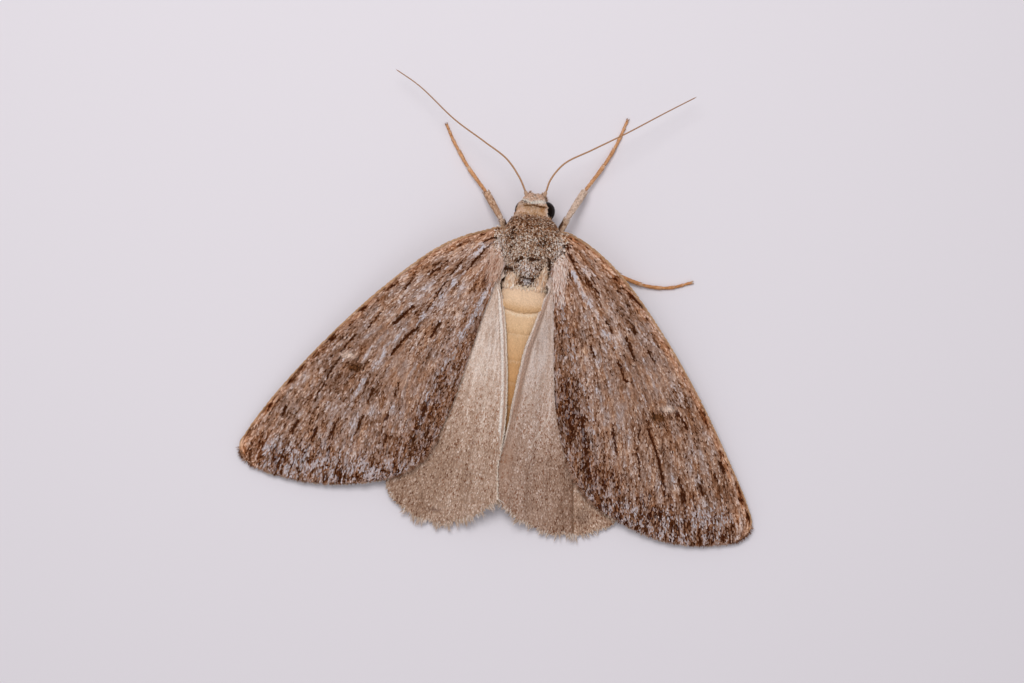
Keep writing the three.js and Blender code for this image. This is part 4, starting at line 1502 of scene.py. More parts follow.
@dataclass
class Hindwing(Wing):
    """The pale silky hindwing, with a rolled inner margin beside the abdomen."""

    plans: dict = field(default_factory=lambda: HINDWING_PLANS)
    node: str = "hindwing"
    slot: str = "hindwing"
    scales: Finish = SILKY_SCALES
    last: float = 0.978
    columns: int = 110
    pitch: tuple = (0.1, 0.062)
    scale_size: tuple = (0.08, 0.18, 0.014)
    hub: tuple = (0.9, -2.0)
    seed: int = 50
    fringe_pitch: float = 0.013
    fringe_hair: tuple = (0.05, 0.52, 0.32)
    ragged: float = 0.3
    lift: float = 0.72
    sag: float = 0.06

    def plan(self, u: Array, v: Array) -> tuple:
        """The place, with shallow bays in the margin between the veins."""
        out, back = super().plan(u, v)
        bays = 0.09 * np.cos(2 * np.pi * 3.6 * v + 0.6) * smooth(0.9, 1, u) * np.sin(np.pi * capped(v))
        return out, back + bays

    def breadth(self, u: Array) -> Array:
        """The distance between the two edges, from hinge to margin."""
        return np.linalg.norm(self.front_path.at(u) - self.inner_path.at(u), axis=-1)

    def height(self, out: Array, back: Array, u: Array, v: Array) -> Array:
        """Height of the middle of the wing's skin, with its pleats, rolled edge and crease.

        Args:
            out: How far out the places are.
            back: How far back they are.
            u: Their shares from hinge to margin.
            v: Their shares from front to rear.

        Returns:
            One height for each place.
        """
        rise = self.lift * smooth(0.6, 0.95, v) * smooth(0.1, 0.3, u)
        rise = rise - self.sag * np.sin(np.pi * np.minimum(v / 0.8, 1)) ** 2 * smooth(0.45, 1, u)
        edge = (1 - v) * self.breadth(u)
        roll = 0.07 * np.sin(np.pi * capped(edge / 0.17))
        roll = roll * smooth(0.02, 0.1, u) * smooth(0.97, 0.85, u)
        fold = 0.08 * bell(edge, 0.32, 0.08) * smooth(0.1, 0.2, u) * smooth(0.95, 0.7, u)
        pleats = 0.04 * np.cos(2 * np.pi * 6.5 * v) * smooth(0.3, 0.9, u) * smooth(1, 0.9, v)
        crease = 0.0
        if self.side is Side.RIGHT:
            crease = -0.12 * self.beyond_crease(out, back)
            crease = crease - 0.17 * smooth(12.2, 13.8, back) * smooth(0.75, 0.15, out)
        return roof(out, back) - WING_GAP - 0.14 + rise + roll + fold + pleats + crease

    def crease_line(self, back: Array) -> Array:
        """How far out the right wing's long crease lies."""
        return 5.12 - 0.14 * (18.3 - back)

    def beyond_crease(self, out: Array, back: Array) -> Array:
        """How far a place lies beyond the long crease, from 0 to 1."""
        line = self.crease_line(back)
        return smooth(line - 0.06, line + 0.1, out) * smooth(8, 12, back)

    def tone(self, u: Array, v: Array, veins: tuple, scatter: Array) -> Array:
        """How light the wing is at each place.

        Args:
            u: Shares from hinge to margin.
            v: Their shares from front to rear.
            veins: What veins() gives for the places.
            scatter: A chance value for each of them.

        Returns:
            One value for each place.
        """
        out, back = self.plan(u, v)
        dusk = 0.8 * smooth(0.3, 0.85, u) + 0.3 * smooth(0.8, 0.2, v) * smooth(0.4, 0.9, u)
        tone = 0.94 - 0.56 * np.clip(dusk, 0, 1.1)
        silk = smooth(0.6, 0.25, u)
        tone += (0.05 + 0.1 * silk) * self.streaks(veins, 1.2, 0.1, 8.0)
        tone += 0.05 * self.streaks(veins, 0.3, 0.13, 60.0) + 0.04 * self.streaks(veins, 3.0, 0.4, 17.0)
        ribs = np.maximum(np.cos(2 * np.pi * 6.5 * v), 0) ** 8
        tone += 0.1 * ribs * smooth(0.2, 0.5, u) * smooth(1, 0.9, v) * smooth(1.05, 0.6, u)
        tone -= 0.05 * spot(out, back, (3.0, 15.5), (1.3, 1.3))
        if self.side is Side.RIGHT:
            tone += 0.12 * spot(out, back, (1.9, 12.8), (1.3, 1.8))
        else:
            tone += 0.05 * smooth(0.6, 0.85, u) - 0.02 * smooth(0.75, 0.5, u)
        return tone + (0.07 + 0.09 * smooth(0.3, 0.8, u)) * scatter

    def colours(self, u: Array, v: Array, scatter: Array) -> Array:
        """The hindwing's markings, with painted shade and painted highlights at its fold and creases.

        Args:
            u: Shares from hinge to margin.
            v: Their shares from front to rear.
            scatter: A chance value for each of them.

        Returns:
            The colours.
        """
        out, back = self.plan(u, v)
        veins = self.veins(out, back)
        silks = [(0.16, 0.07, 0.035), (0.3, 0.168, 0.108), (0.44, 0.275, 0.19), (0.58, 0.395, 0.3),
                 (0.75, 0.56, 0.455), (0.93, 0.77, 0.68)]
        colour = ramp(silks, self.tone(u, v, veins, scatter))
        rim = (1 - v) * self.breadth(u)
        edge = rim / np.clip((14.3 - back) / 1.8, 0.12, 1)
        along = smooth(0.04, 0.12, u) * smooth(0.95, 0.75, u)
        if self.side is Side.LEFT:
            # a pinkish band along the rolled edge, its own colour, and two lines of painted shade
            # beyond the fold's ridge
            pink_band_and_shade = 0.75 * smooth(0.05, 0.1, edge) * smooth(0.26, 0.2, edge)
            pink_band_and_shade += 0.8 * bell(edge, 0.44, 0.04) + 0.35 * bell(edge, 0.67, 0.04)
            # painted highlight along the ridge of the fold, which the skin's relief also has
            colour = blend(colour, (0.99, 0.88, 0.8), bell(edge, 0.32, 0.065) * along)
        else:
            pink_band_and_shade = 0.8 * smooth(0.1, 0.17, edge) * smooth(0.6, 0.45, edge) * smooth(0.75, 0.55, u)
            # painted shade on the right wing beside the edge of the left wing, which lies over it
            pink_band_and_shade += 1.2 * spot(out, back, (0.3, 14.8), (0.5, 1.6))
        colour = blend(colour, (0.5, 0.31, 0.215), capped(pink_band_and_shade) * np.maximum(along, 0.5))
        roll = smooth(0.1, 0.06, rim)
        colour = blend(colour, (0.93, 0.79, 0.67), roll * 0.8)
        # painted highlight along the creases
        crease = shown(HINDWING_CREASE_HIGHLIGHTS[self.side], out, back) * (0.8 + 0.2 * scatter)
        colour = blend(colour, (0.88, 0.72, 0.6), crease)
        speck = smooth(0.9, 1.6, scatter * -1 + 0.5 * self.streaks(veins, 0.3, 0.2, 5.0))
        speck = speck * smooth(0.1, 0.3, edge) * (0.1 + 0.9 * smooth(0.35, 0.65, u))
        colour = blend(colour, colour * (0.78, 0.56, 0.42), 0.8 * speck)
        if self.side is Side.RIGHT:
            return self._right_marks(colour, out, back)
        colour = blend(colour, (0.13, 0.05, 0.03), 0.9 * spot(out, back, (3.88, 18.15), (0.36, 0.1)))
        return blend(colour, (0.2, 0.08, 0.04), 0.9 * spot(out, back, (1.93, 13.5), (0.06, 0.12)))

    def _right_marks(self, colour: Array, out: Array, back: Array) -> Array:
        """The right wing's darker front part, warmer lobe, painted shade in its crease, and a darkening
        of the whole wing that is partly painted shade.

        Args:
            colour: The colours so far.
            out: How far out the places are.
            back: How far back they are.

        Returns:
            The colours with those marks.
        """
        far = self.beyond_crease(out, back)
        dusk = 0.85 * spot(out, back, (5.7, 17.5), (0.5, 0.5))
        colour = tinged(colour, far * (1 - dusk), (0.4, 0.48, 0.5))
        # painted shade along the bottom of the long crease
        line = bell(out - self.crease_line(back), 0, 0.08) * smooth(8, 12, back)
        colour = blend(colour, (0.26, 0.13, 0.07), 0.75 * line)
        # the whole right wing darker, partly its own colour and partly painted shade of its tilt away
        # from the lamp; darker still at its rear corner
        corner = 1 - 0.15 * spot(out, back, (5.6, 17.25), (0.6, 0.6))
        return colour * (0.9, 0.88, 0.89) * corner[:, None]

    def margin(self) -> list:
        """From the front corner, along the margin to the midline."""
        end = self.last
        return [(0.9, 0.0), (end, 0.0), (end, 0.25), (end, 0.5), (end, 0.75), (end, 1.0)]

    def fringe_colours(self, share: Array, scatter: Array) -> Array:
        """Cream hairs."""
        return ramp([(0.42, 0.27, 0.18), (0.64, 0.47, 0.36), (0.92, 0.82, 0.76)], 0.5 + 0.3 * scatter)

    def fringe_length(self, share: Array, chance: np.random.Generator) -> Array:
        """Uneven lengths, in ragged tufts, short towards the front corner."""
        tufts = self.hazard.at((0.016, 1, 1), share, share * 0 + 3)
        grown = 0.45 + 0.55 * smooth(0.15, 0.4, share)
        return grown * np.clip(0.85 + 0.45 * tufts, 0.35, 1.4) * chance.uniform(0.6, 1.15, len(share))


# ---- Body ----
@dataclass
class Trunk:
    """Head, neck, thorax and abdomen as one skin, with its coats.

    Attributes:
        stations: The skin's (back, middle, half width, low, high).
        seams: Where the segments of the abdomen end.
        thorax_spots: How much lighter the thorax is: (x, back), half sizes and amount.
        rings: How many rings the skin has.
        around: How many points each ring has.
    """

    stations: list = field(default_factory=lambda: [
        (-2.74, 0.15, 0.06, 2.1, 2.25), (-2.7, 0.15, 0.36, 1.7, 2.62), (-2.58, 0.15, 0.52, 1.5, 2.8),
        (-2.42, 0.15, 0.64, 1.36, 2.88), (-2.25, 0.14, 0.73, 1.28, 2.88),
        (-2.08, 0.12, 0.87, 1.24, 2.84), (-1.9, 0.1, 0.97, 1.2, 2.84), (-1.65, 0.11, 1.04, 1.18, 2.86),
        (-1.42, 0.115, 1.075, 1.15, 2.9), (-1.2, 0.09, 1.11, 1.1, 3.06), (-0.95, 0.05, 1.33, 1.0, 3.3),
        (-0.6, 0, 1.55, 0.88, 3.54), (0.0, 0, 1.64, 0.8, 3.74), (0.6, 0, 1.66, 0.78, 3.82),
        (1.7, 0, 1.56, 0.8, 3.68), (2.35, 0, 1.47, 0.86, 3.36), (2.8, 0, 1.41, 0.88, 2.92),
        (3.1, 0, 1.4, 0.8, 2.68), (3.5, 0, 1.42, 0.7, 2.68), (4.2, 0, 1.45, 0.58, 2.68),
        (6.6, 0, 1.4, 0.47, 2.5), (9.0, 0, 1.24, 0.42, 2.14), (11.4, 0, 0.95, 0.37, 1.7),
        (13.2, 0, 0.56, 0.37, 1.24), (14.2, 0, 0.25, 0.42, 0.93), (14.5, 0, 0.04, 0.55, 0.7),
    ])
    seams: tuple = (4.9, 6.25, 7.95, 9.35, 10.85, 12.45)
    thorax_spots: tuple = (
        ((0.2, 1.15), (0.13, 0.55), 0.22), ((0.82, 0.8), (0.17, 0.7), 0.18),
        ((0.15, -0.7), (0.9, 0.5), -0.1), ((-0.8, 0.3), (0.25, 0.6), -0.08),
        ((1.15, -0.05), (0.2, 0.5), -0.2), ((0.0, 2.05), (0.55, 0.36), 0.36),
    )
    rings: int = 360
    around: int = 96

    def __post_init__(self) -> None:
        """Lays the outline."""
        self.outline = Path(self.stations)
        self.hazard = Noise(5)
        self.front, self.rear = self.stations[0][0], self.stations[-1][0]

    def section(self, back: Array) -> tuple:
        """Middle, half width, middle height and half height of the skin along the body."""
        order, *columns = self.outline.points.T
        middle, width, low, high = (np.interp(back, order, column) for column in columns)
        return middle, width, (low + high) / 2, (high - low) / 2

    def behind_joint(self, k: int, x: Array, back: Array) -> Array:
        """How far behind a joint of the abdomen a place lies; the joints bow backwards."""
        bow = 0.16 if k == 0 else 0.12
        return back + bow * x**2 - self.seams[k]

    def surface(self, back: Array, turn: Array) -> Array:
        """Places on the skin.

        Args:
            back: How far back they are.
            turn: Their angles round the body, from its left side upwards.

        Returns:
            The places.
        """
        middle, width, level, half = self.section(back)
        square = 0.6 * smooth(-1.0, -1.5, back) + 0.4 * smooth(2.4, 3.0, back) * smooth(12, 9, back)
        power = 2 / (2.1 + square)
        beside = np.sign(np.cos(turn)) * np.abs(np.cos(turn)) ** power
        above = np.sign(np.sin(turn)) * np.abs(np.sin(turn)) ** power
        grow = self.lobes(back, turn)
        for k in range(len(self.seams)):
            behind = self.behind_joint(k, width * beside, back)
            depth = (0.14 if k == 0 else 0.04) * smooth(-0.5, 0.3, above)
            grow = grow + depth * smooth(-1.1, -0.16, behind) * smooth(0.08, -0.16, behind)
        across, height = middle + (width + grow) * beside, level + (half + grow) * above
        return np.column_stack([across, back, height])

    def lobes(self, back: Array, turn: Array) -> Array:
        """How far the shoulder flaps, the shield and the cushions stand out.

        Args:
            back: How far back they are.
            turn: Their angles round the body.

        Returns:
            How far out the skin is at places.
        """
        aside = np.abs(np.abs(turn % (2 * np.pi) - np.pi / 2) - np.pi / 2)
        upper = np.sin(turn) > -0.1
        middle = np.pi / 2 - aside
        flaps = 0.5 * bell(back, 0.45, 0.85) * bell(aside, math.radians(28), math.radians(13))
        shield = 0.16 * bell(back, 2.1, 0.42) * bell(middle, 0, math.radians(24))
        cushions = 0.1 * bell(back, 2.95, 0.3) * bell(middle, math.radians(40), math.radians(14))
        ridge = 0.06 * bell(middle, 0, math.radians(9)) * bell(back, 0.7, 0.6)
        return (flaps + shield + cushions + ridge) * upper

    def frame_at(self, back: Array, turn: Array) -> tuple:
        """Places on the skin with the directions backwards and outwards."""
        along = unit(self.surface(back + 0.03, turn) - self.surface(back - 0.03, turn))
        across = unit(self.surface(back, turn + 0.03) - self.surface(back, turn - 0.03))
        return self.surface(back, turn), along, unit(np.cross(across, along) * -1)

    def skin(self) -> Piece:
        """The skin itself."""
        share = np.linspace(0, 1, self.rings)
        ends = (1 - np.cos(np.pi * share)) / 2
        backs = self.front + (self.rear - self.front) * (0.9 * share + 0.1 * ends)
        backs, turns = np.clip(backs, self.front + 0.004, self.rear - 0.004), circle(self.around)
        back, turn = np.repeat(backs, self.around), np.tile(turns, self.rings)
        poles = [(self.stations[0][1], self.front, 2.17), (0, self.rear, 0.62)]
        points = np.vstack([self.surface(back, turn), poles])
        tint = self.colours(points, np.zeros(len(points)))
        tint = tint * (0.45 + 0.55 * smooth(3.0, 3.4, points[:, 1]))[:, None]
        faces = [face[::-1] for face in tube_faces(self.rings, self.around)]
        return make_piece("body_skin", points, faces, tint, BODY_SKIN)

    def head_colours(self, place: Array, scatter: Array) -> Array:
        """Speckled tan crown, a whitish band and a dark brow.

        Args:
            place: Places on the skin.
            scatter: A chance value for each place.

        Returns:
            Their colours.
        """
        x, back, up = place.T
        speck = 0.6 * self.hazard.at((0.12, 0.12, 0.12), x, back, up) + 0.8 * scatter
        crown = [(0.4, 0.19, 0.1), (0.7, 0.43, 0.29), (0.9, 0.63, 0.48), (0.98, 0.84, 0.74)]
        colour = ramp(crown, 0.58 + 0.22 * speck + 0.2 * smooth(-2.55, -2.68, back))
        places = [(0.95, -2.22), (0.6, -2.15), (0.3, -2.12), (0.0, -2.17), (-0.3, -2.24), (-0.5, -2.24)]
        band = Stroke(places, 0.1, 1).at(x, back) * (1.0 + 0.15 * scatter)
        colour = blend(colour, (1.0, 0.92, 0.83), capped(band))
        behind = smooth(-2.07, -2.03, back)
        colour = blend(colour, flecked((0.84, 0.56, 0.36), 0.14 * scatter), behind * 0.85)
        brow = Stroke([(1.02, -1.9), (0.95, -2.0), (0.78, -2.12), (0.6, -2.12)], 0.055, 1.0)
        colour = blend(colour, (0.1, 0.035, 0.015), brow.at(x, back))
        cheek = smooth(2.3, 1.7, up)
        return blend(colour, flecked((0.56, 0.42, 0.33), 0.2 * scatter), cheek * 0.8)

    def collar_colours(self, place: Array, scatter: Array) -> Array:
        """A cream-orange band, paler to the sides.

        Args:
            place: Places on the skin.
            scatter: A chance value for each place.

        Returns:
            Their colours.
        """
        x, back, up = place.T
        speck = self.hazard.at((0.22, 0.12, 0.2), x, back, up)
        cream = [(0.4, 0.18, 0.06), (0.55, 0.32, 0.17), (0.66, 0.44, 0.3), (0.84, 0.68, 0.56)]
        pale = 0.42 + 0.22 * speck + 0.1 * scatter + 0.35 * smooth(0.45, 0.9, np.abs(x - 0.1))
        pale -= 0.2 * spot(x, back, (-0.55, -1.62), (0.2, 0.16))
        colour = ramp(cream, pale + 0.3 * bell(back, -1.93, 0.05))
        edge = spot(x, back, (-0.8, -1.66), (0.12, 0.3)) * smooth(2.2, 2.5, up)
        colour = tinged(colour, 0.16 * smooth(0.5, 0.8, np.abs(x - 0.1)), (-0.2, -0.7, -1.0))
        return blend(colour, (0.98, 0.86, 0.76), edge * 0.9)

    THORAX_DARK = strokes(
        (0.09, 1.5, (0.37, 1.4), (0.55, 1.52), (0.76, 1.7)),
        (0.11, 1.7, (-0.14, 1.44), (-0.36, 1.42)),
        (0.06, 1.4, (-0.36, 1.42), (-0.64, 1.38)),
        (0.055, 1.5, (-1.03, 1.68), (-0.81, 2.2), (-0.41, 2.64)),
        (0.04, 1.4, (-0.41, 2.64), (-0.08, 3.29)),
        (0.04, 1.4, (0.79, 2.25), (0.42, 2.79), (0.1, 3.27)),
        (0.05, 0.9, (0.62, 2.44), (0.15, 2.58), (-0.41, 2.6)),
        (0.07, 1.5, (-1.2, 1.3), (-1.25, 1.51), (-1.42, 2.26), (-1.46, 2.82)),
        (0.12, 1.6, (0.99, 2.16), (1.32, 2.13), (1.5, 2.25), (1.56, 2.38)),
        (0.1, 1.7, (1.5, 2.3), (1.38, 2.6), (1.33, 2.9)),
        (0.08, 1.2, (1.18, -0.45), (1.22, 0.05)),
        (0.07, 1.5, (1.19, 0.22), (1.19, 0.3)),
        (0.08, 1.5, (1.17, 0.76), (1.17, 0.85)),
        (0.06, 1.3, (1.16, 1.08), (1.2, 1.16)),
        (0.08, 1.1, (-0.85, -0.3), (-0.87, -0.16)),
        (0.08, 1.2, (-0.88, 0.15), (-0.86, 0.28)),
        (0.09, 0.8, (-0.62, 0.35), (-0.75, 0.45)),
    )

    def thorax_colours(self, place: Array, scatter: Array) -> Array:
        """Salt and pepper, with dark flanks, two dark marks, a shield and cream cushions.

        Args:
            place: Places on the skin.
            scatter: A chance value for each place.

        Returns:
            Their colours.
        """
        x, back, up = place.T
        back = back - 0.06
        pepper = [(0.07, 0.018, 0.004), (0.25, 0.12, 0.062), (0.49, 0.315, 0.22), (0.7, 0.53, 0.42),
                  (0.97, 0.83, 0.73)]
        tone = 0.53 + 0.06 * self.hazard.at((0.2, 0.3, 0.3), x, back, up)
        for middle, size, amount in self.thorax_spots:
            tone += amount * spot(x, back, middle, size)
        aside = spot(np.abs(x), back, (1.9, 0.9), (0.35, 0.9))
        colour = ramp(pepper, tone + np.where(x > 0, 0.32, 0.48) * aside + 0.37 * scatter)
        cool = spot(x, back, (0.0, 2.05), (0.6, 0.4)) + 0.7 * aside
        colour = tinged(colour, capped(cool), (0.0, 0.05, 0.18))
        tan = 0.5 + self.hazard.at((0.08, 0.08, 0.08), x + 9, back, up) + smooth(0.4, -0.6, back)
        tan = np.clip(tan, 0, 1.2) * smooth(0.9, -0.2, scatter)
        colour = tinged(colour, tan, (0.12, -0.04, -0.2))
        colour = tinged(colour, 0.14 * smooth(0.2, -0.8, back), (0.0, -0.5, -1.0))
        strand = self.hazard.at((0.06, 0.9, 0.7), x, back, up) + 0.5 * scatter
        strand = 0.52 + 0.05 * np.sign(x) + 0.4 * strand
        strand += 0.35 * spot(x, back, (-0.8, 2.95), (0.35, 0.3))
        cream = [(0.5, 0.24, 0.12), (0.88, 0.58, 0.37), (1.0, 0.74, 0.53), (1.0, 0.92, 0.84)]
        colour = blend(colour, ramp(cream, strand), self.cushions(x, back))
        white = smooth(0.34, 0.24, np.abs(x + 0.04) + 0.42 * (back - 2.62)) * smooth(2.6, 2.68, back)
        colour = blend(colour, (0.85, 0.77, 0.76), white * capped(0.85 + 0.2 * scatter))
        veil = spot(x, back, (1.36, 1.75), (0.2, 0.28)) + spot(x, back, (-1.2, 1.55), (0.12, 0.3))
        colour = blend(colour, (0.78, 0.62, 0.52), capped(veil) * (0.7 + 0.2 * scatter))
        ragged = x + 0.05 * self.hazard.at((0.1, 0.1, 0.1), x, back, up)
        dark = capped(shown(self.THORAX_DARK, ragged, back) * (1.25 - 0.15 * scatter))
        colour = blend(colour, (0.06, 0.018, 0.005), dark * smooth(1.6, 2.0, up) * 0.97)
        low = smooth(2.0, 1.3, up)
        return blend(colour, flecked((0.6, 0.48, 0.39), 0.15 * scatter), low * 0.8)

    def cushions(self, x: Array, back: Array) -> Array:
        """How strongly the two cream cushions beside the shield show."""
        left = spot(x - 0.3 * (back - 2.8), back, (0.88, 2.82), (0.4, 0.55))
        broad = 0.2 + 0.11 * np.clip(back - 1.4, 0, 2)
        right = spot(x - 0.12 * (back - 2.4), back, (-0.98, 2.5), (broad, 0.85))
        return np.clip(np.maximum(left, right) * 2.2 - 0.35, 0, 0.96)

    def abdomen_colours(self, place: Array, scatter: Array) -> Array:
        """Cream in front, ochre behind, with painted shade before each joint and a painted highlight on
        the rim just behind it.

        Args:
            place: Places on the skin.
            scatter: A chance value for each place.

        Returns:
            Their colours.
        """
        x, back, up = place.T
        ochre = [(0.86, 0.61, 0.42), (0.76, 0.5, 0.29), (0.66, 0.37, 0.17), (0.56, 0.28, 0.11)]
        colour = ramp(ochre, (back - 3.3) / 7.5)
        mottle = 0.5 * self.hazard.at((0.3, 0.3, 0.3), x, back, up) + 0.5 * scatter
        colour = colour * (1 + 0.06 * mottle)[:, None]
        for k in range(len(self.seams)):
            behind = self.behind_joint(k, x, back)
            before, depth, ridge, width, gleam = (0.3, 0.14, 0.08, 0.05, 0.18)
            if k == 0:
                before, depth, ridge, width, gleam = (0.75, 0.55, 0.16, 0.07, 0.6)
            # painted shade where each segment's rear edge overhangs the next, strongest at the first
            # joint
            shade = smooth(-before, -0.08, behind) * smooth(0.06, -0.04, behind)
            colour = blend(colour, (0.56, 0.29, 0.1), shade * depth)
            # painted highlight on the front rim of the segment behind the joint
            colour = blend(colour, (0.9, 0.73, 0.55), bell(behind, ridge, width) * gleam)
        return blend(colour, (0.8, 0.66, 0.5), smooth(1.4, 0.8, up) * 0.6)

    def colours(self, place: Array, scatter: Array) -> Array:
        """The colours of the whole body.

        Args:
            place: Places on the skin.
            scatter: A chance value for each place.

        Returns:
            Their colours.
        """
        x, back, up = place.T
        ragged = back + 0.05 * self.hazard.at((0.12, 0.3, 0.3), x + 3, back, up)
        colour = self.head_colours(place, scatter)
        colour = blend(colour, self.collar_colours(place, scatter), smooth(-2.02, -1.98, back))
        places = [(0.75, -1.88), (0.45, -1.95), (0.1, -1.97), (-0.3, -1.94), (-0.6, -1.9)]
        rust = Stroke(places, 0.055, 1)
        rust = capped(rust.at(x, back) * (1.3 + 0.2 * scatter)) * smooth(2.2, 2.5, up)
        colour = blend(colour, (0.17, 0.06, 0.015), rust)
        neck = ragged - 0.32 * smooth(0.6, 1.1, x) * smooth(3.0, 2.6, up)
        colour = blend(colour, self.thorax_colours(place, scatter), smooth(-1.35, -1.28, neck))
        return blend(colour, self.abdomen_colours(place, scatter), smooth(3.34, 3.46, back - 0.04 * x))

    def coat(self, first: float, last: float, pitch: float, size: tuple, seed: int) -> Roots:
        """Roots in even staggered rings over a stretch of the body.

        Args:
            first: Where the stretch begins, back from the hinges.
            last: Where it ends.
            pitch: The distance between two roots.
            size: A tuft's width, length and height.
            seed: The seed of the chance values.

        Returns:
            The roots, lying backwards.
        """
        chance = draws(seed)
        backs, turns = [], []
        here = first
        while here < last:
            _, width, _, half = self.section(np.array([here]))
            heights = self.section(np.array([here, here + 0.02]))[3]
            slope = abs(heights[1] - heights[0]) / 0.02
            girth = 2 * np.pi * math.sqrt((width[0] ** 2 + half[0] ** 2) / 2)
            count = max(int(girth / pitch), 3)
            angle = (np.arange(count) + chance.uniform(-0.4, 0.4, count)) / count * 2 * np.pi
            turns.append(angle + chance.uniform(0, 1))
            backs.append(here + pitch * chance.uniform(-0.5, 0.5, count))
            here += pitch / math.sqrt(1 + min(slope, 3) ** 2)
        back, turn = np.concatenate(backs), np.concatenate(turns)
        back = np.clip(back, self.front + 0.02, self.rear - 0.02)
        place, along, outward = self.frame_at(back, turn)
        count = len(back)
        reach = np.array(size) * chance.uniform(0.75, 1.25, (count, 3))
        tint = self.colours(place, chance.normal(0, 1, count))
        share = (back - self.front) / (self.rear - self.front)
        unwrap = np.column_stack([share, (turn / (2 * np.pi)) % 1])
        place = place - outward * 0.01 - along * reach[:, 1:2] * 0.55
        return Roots(place, along, outward, reach, unwrap, tint)

    def build(self) -> None:
        """Makes the body's pieces."""
        parts = ["head", "collar", "thorax"] + [f"abdomen_segment_{k}" for k in range(1, 8)]
        parts += ["tegula_l", "tegula_r"]
        declare(self.skin(), "fur", *parts)
        head = self.coat(-2.7, -1.74, 0.042, (0.06, 0.14, 0.025), 81)
        head = head.kept(~self.near_eye(head))
        front = smooth(-2.1, -2.7, head.place[:, 1])
        head = head.leaning((0, -1.2, 0.0), front).ruffled((0.1, 0.6), 0.7, 91)
        head.dress("head_scales", Vane.SCALE, GRAINS, "fur")
        collar = self.coat(-1.75, -1.27, 0.045, (0.065, 0.26, 0.025), 82).ruffled((0.05, 0.3), 0.22, 92)
        collar = collar.kept(~self.near_eye(collar))
        collar.dress("collar_scales", Vane.SCALE, SOFT_GRAINS, "collar")
        thorax = self.coat(-1.34, 3.25, 0.054, (0.07, 0.19, 0.028), 83)
        x, back, up = thorax.place.T
        thorax = thorax.kept((self.cushions(x, back) <= 0.6) | (up <= 1.9))
        thorax = thorax.ruffled((0.15, 0.85), 0.6, 93)
        thorax.dress("thorax_scales", Vane.SCALE, GRAINS, "fur")
        self.long_hairs()
        abdomen = self.coat(3.34, 14.3, 0.1, (0.12, 0.28, 0.02), 84).ruffled((0.02, 0.09), 0.12, 94)
        abdomen.dress("abdomen_scales", Vane.SCALE, VELVET, "abdomen")

    def long_hairs(self) -> None:
        """The brows, the cushions at the rear of the thorax, and the fringe behind them."""
        brows = self.coat(-2.35, -1.45, 0.05, (0.05, 0.34, 0.25), 85)
        x, back, up = brows.place.T
        left = (x > 0.72) & (up > 2.15) & ~((back > -1.84) & (back < -1.5))
        right = (x < -0.55) & (up > 2.5) & (back > -2.15) & (draws(3).uniform(size=len(x)) < 0.5)
        brows = brows.kept(left | right).leaning((1.3, 0.0, 0.0), (x[left | right] > 0).astype(float))
        brows.ruffled((0.0, 0.25), 0.3, 95).dress("brow_hairs", Vane.HAIR, BODY_FUR, "fur")
        cushions = self.coat(1.5, 3.3, 0.045, (0.05, 0.5, 0.28), 86)
        x, back, up = cushions.place.T
        cream = (self.cushions(x, back + 0.2) > 0.4) & (cushions.tint[:, 0] > 0.4) & (up > 1.9)
        cushions = cushions.kept(cream).ruffled((0.04, 0.2), 0.16, 96)
        cushions.dress("cushion_hairs", Vane.LOCK, VELVET, "fur")
        fringe = self.coat(3.12, 3.32, 0.04, (0.055, 0.34, 0.2), 87)
        pale = draws(4).uniform(0.7, 1.0, (len(fringe.tint), 1))
        fringe.tint[:] = np.array((1.0, 0.8, 0.6)) * pale
        fringe = fringe.kept(fringe.place[:, 2] > 1.4).ruffled((0.0, 0.25), 0.3, 97)
        fringe.dress("thorax_fringe", Vane.HAIR, VELVET, "fur")

    def near_eye(self, roots: Roots) -> Array:
        """Which tufts would lie over an eye."""
        hidden = np.zeros(len(roots.place), bool)
        for side, share in itertools.product(Side, (0.0, 0.5, 0.9)):
            eye = Eye(side)
            along = roots.place + roots.lie * roots.reach[:, 1:2] * share
            hidden |= np.linalg.norm(along - eye.middle, axis=1) < eye.radius + 0.01
        return hidden


@dataclass
class Eye:
    """A glossy black compound eye."""

    side: Side
    radius: float = 0.6
    shape: tuple = (1.0, 1.1, 1.08)
    rings: int = 40
    around: int = 64

    @property
    def middle(self) -> Array:
        """The eye's middle; the head is tipped, so the right eye stands higher."""
        if self.side is Side.LEFT:
            return np.array([0.71, -1.62, 1.86])
        return np.array([-0.69, -1.7, 2.0])

    def build(self) -> None:
        """Makes the eye."""
        tilt = np.linspace(0, np.pi, self.rings + 2)[1:-1]
        level = np.repeat(tilt, self.around)
        angle = np.tile(circle(self.around), self.rings)
        wide = np.sin(level)
        ball = np.column_stack([wide * np.cos(angle), wide * np.sin(angle), np.cos(level)])
        ball = np.vstack([ball, UPWARDS, (0, 0, -1)])
        size = self.radius * np.array(self.shape) * 0.98
        tint = blend((0.005, 0.002, 0.001), (0.014, 0.006, 0.003), (1 - ball[:, 2]) / 2)
        faces = tube_faces(self.rings, self.around)
        name = "eye_" + self.side.tag
        piece = make_piece(name + "_facets", self.middle + ball * size, faces, tint, EYE_GLOSS)
        declare(piece, "eye", name)


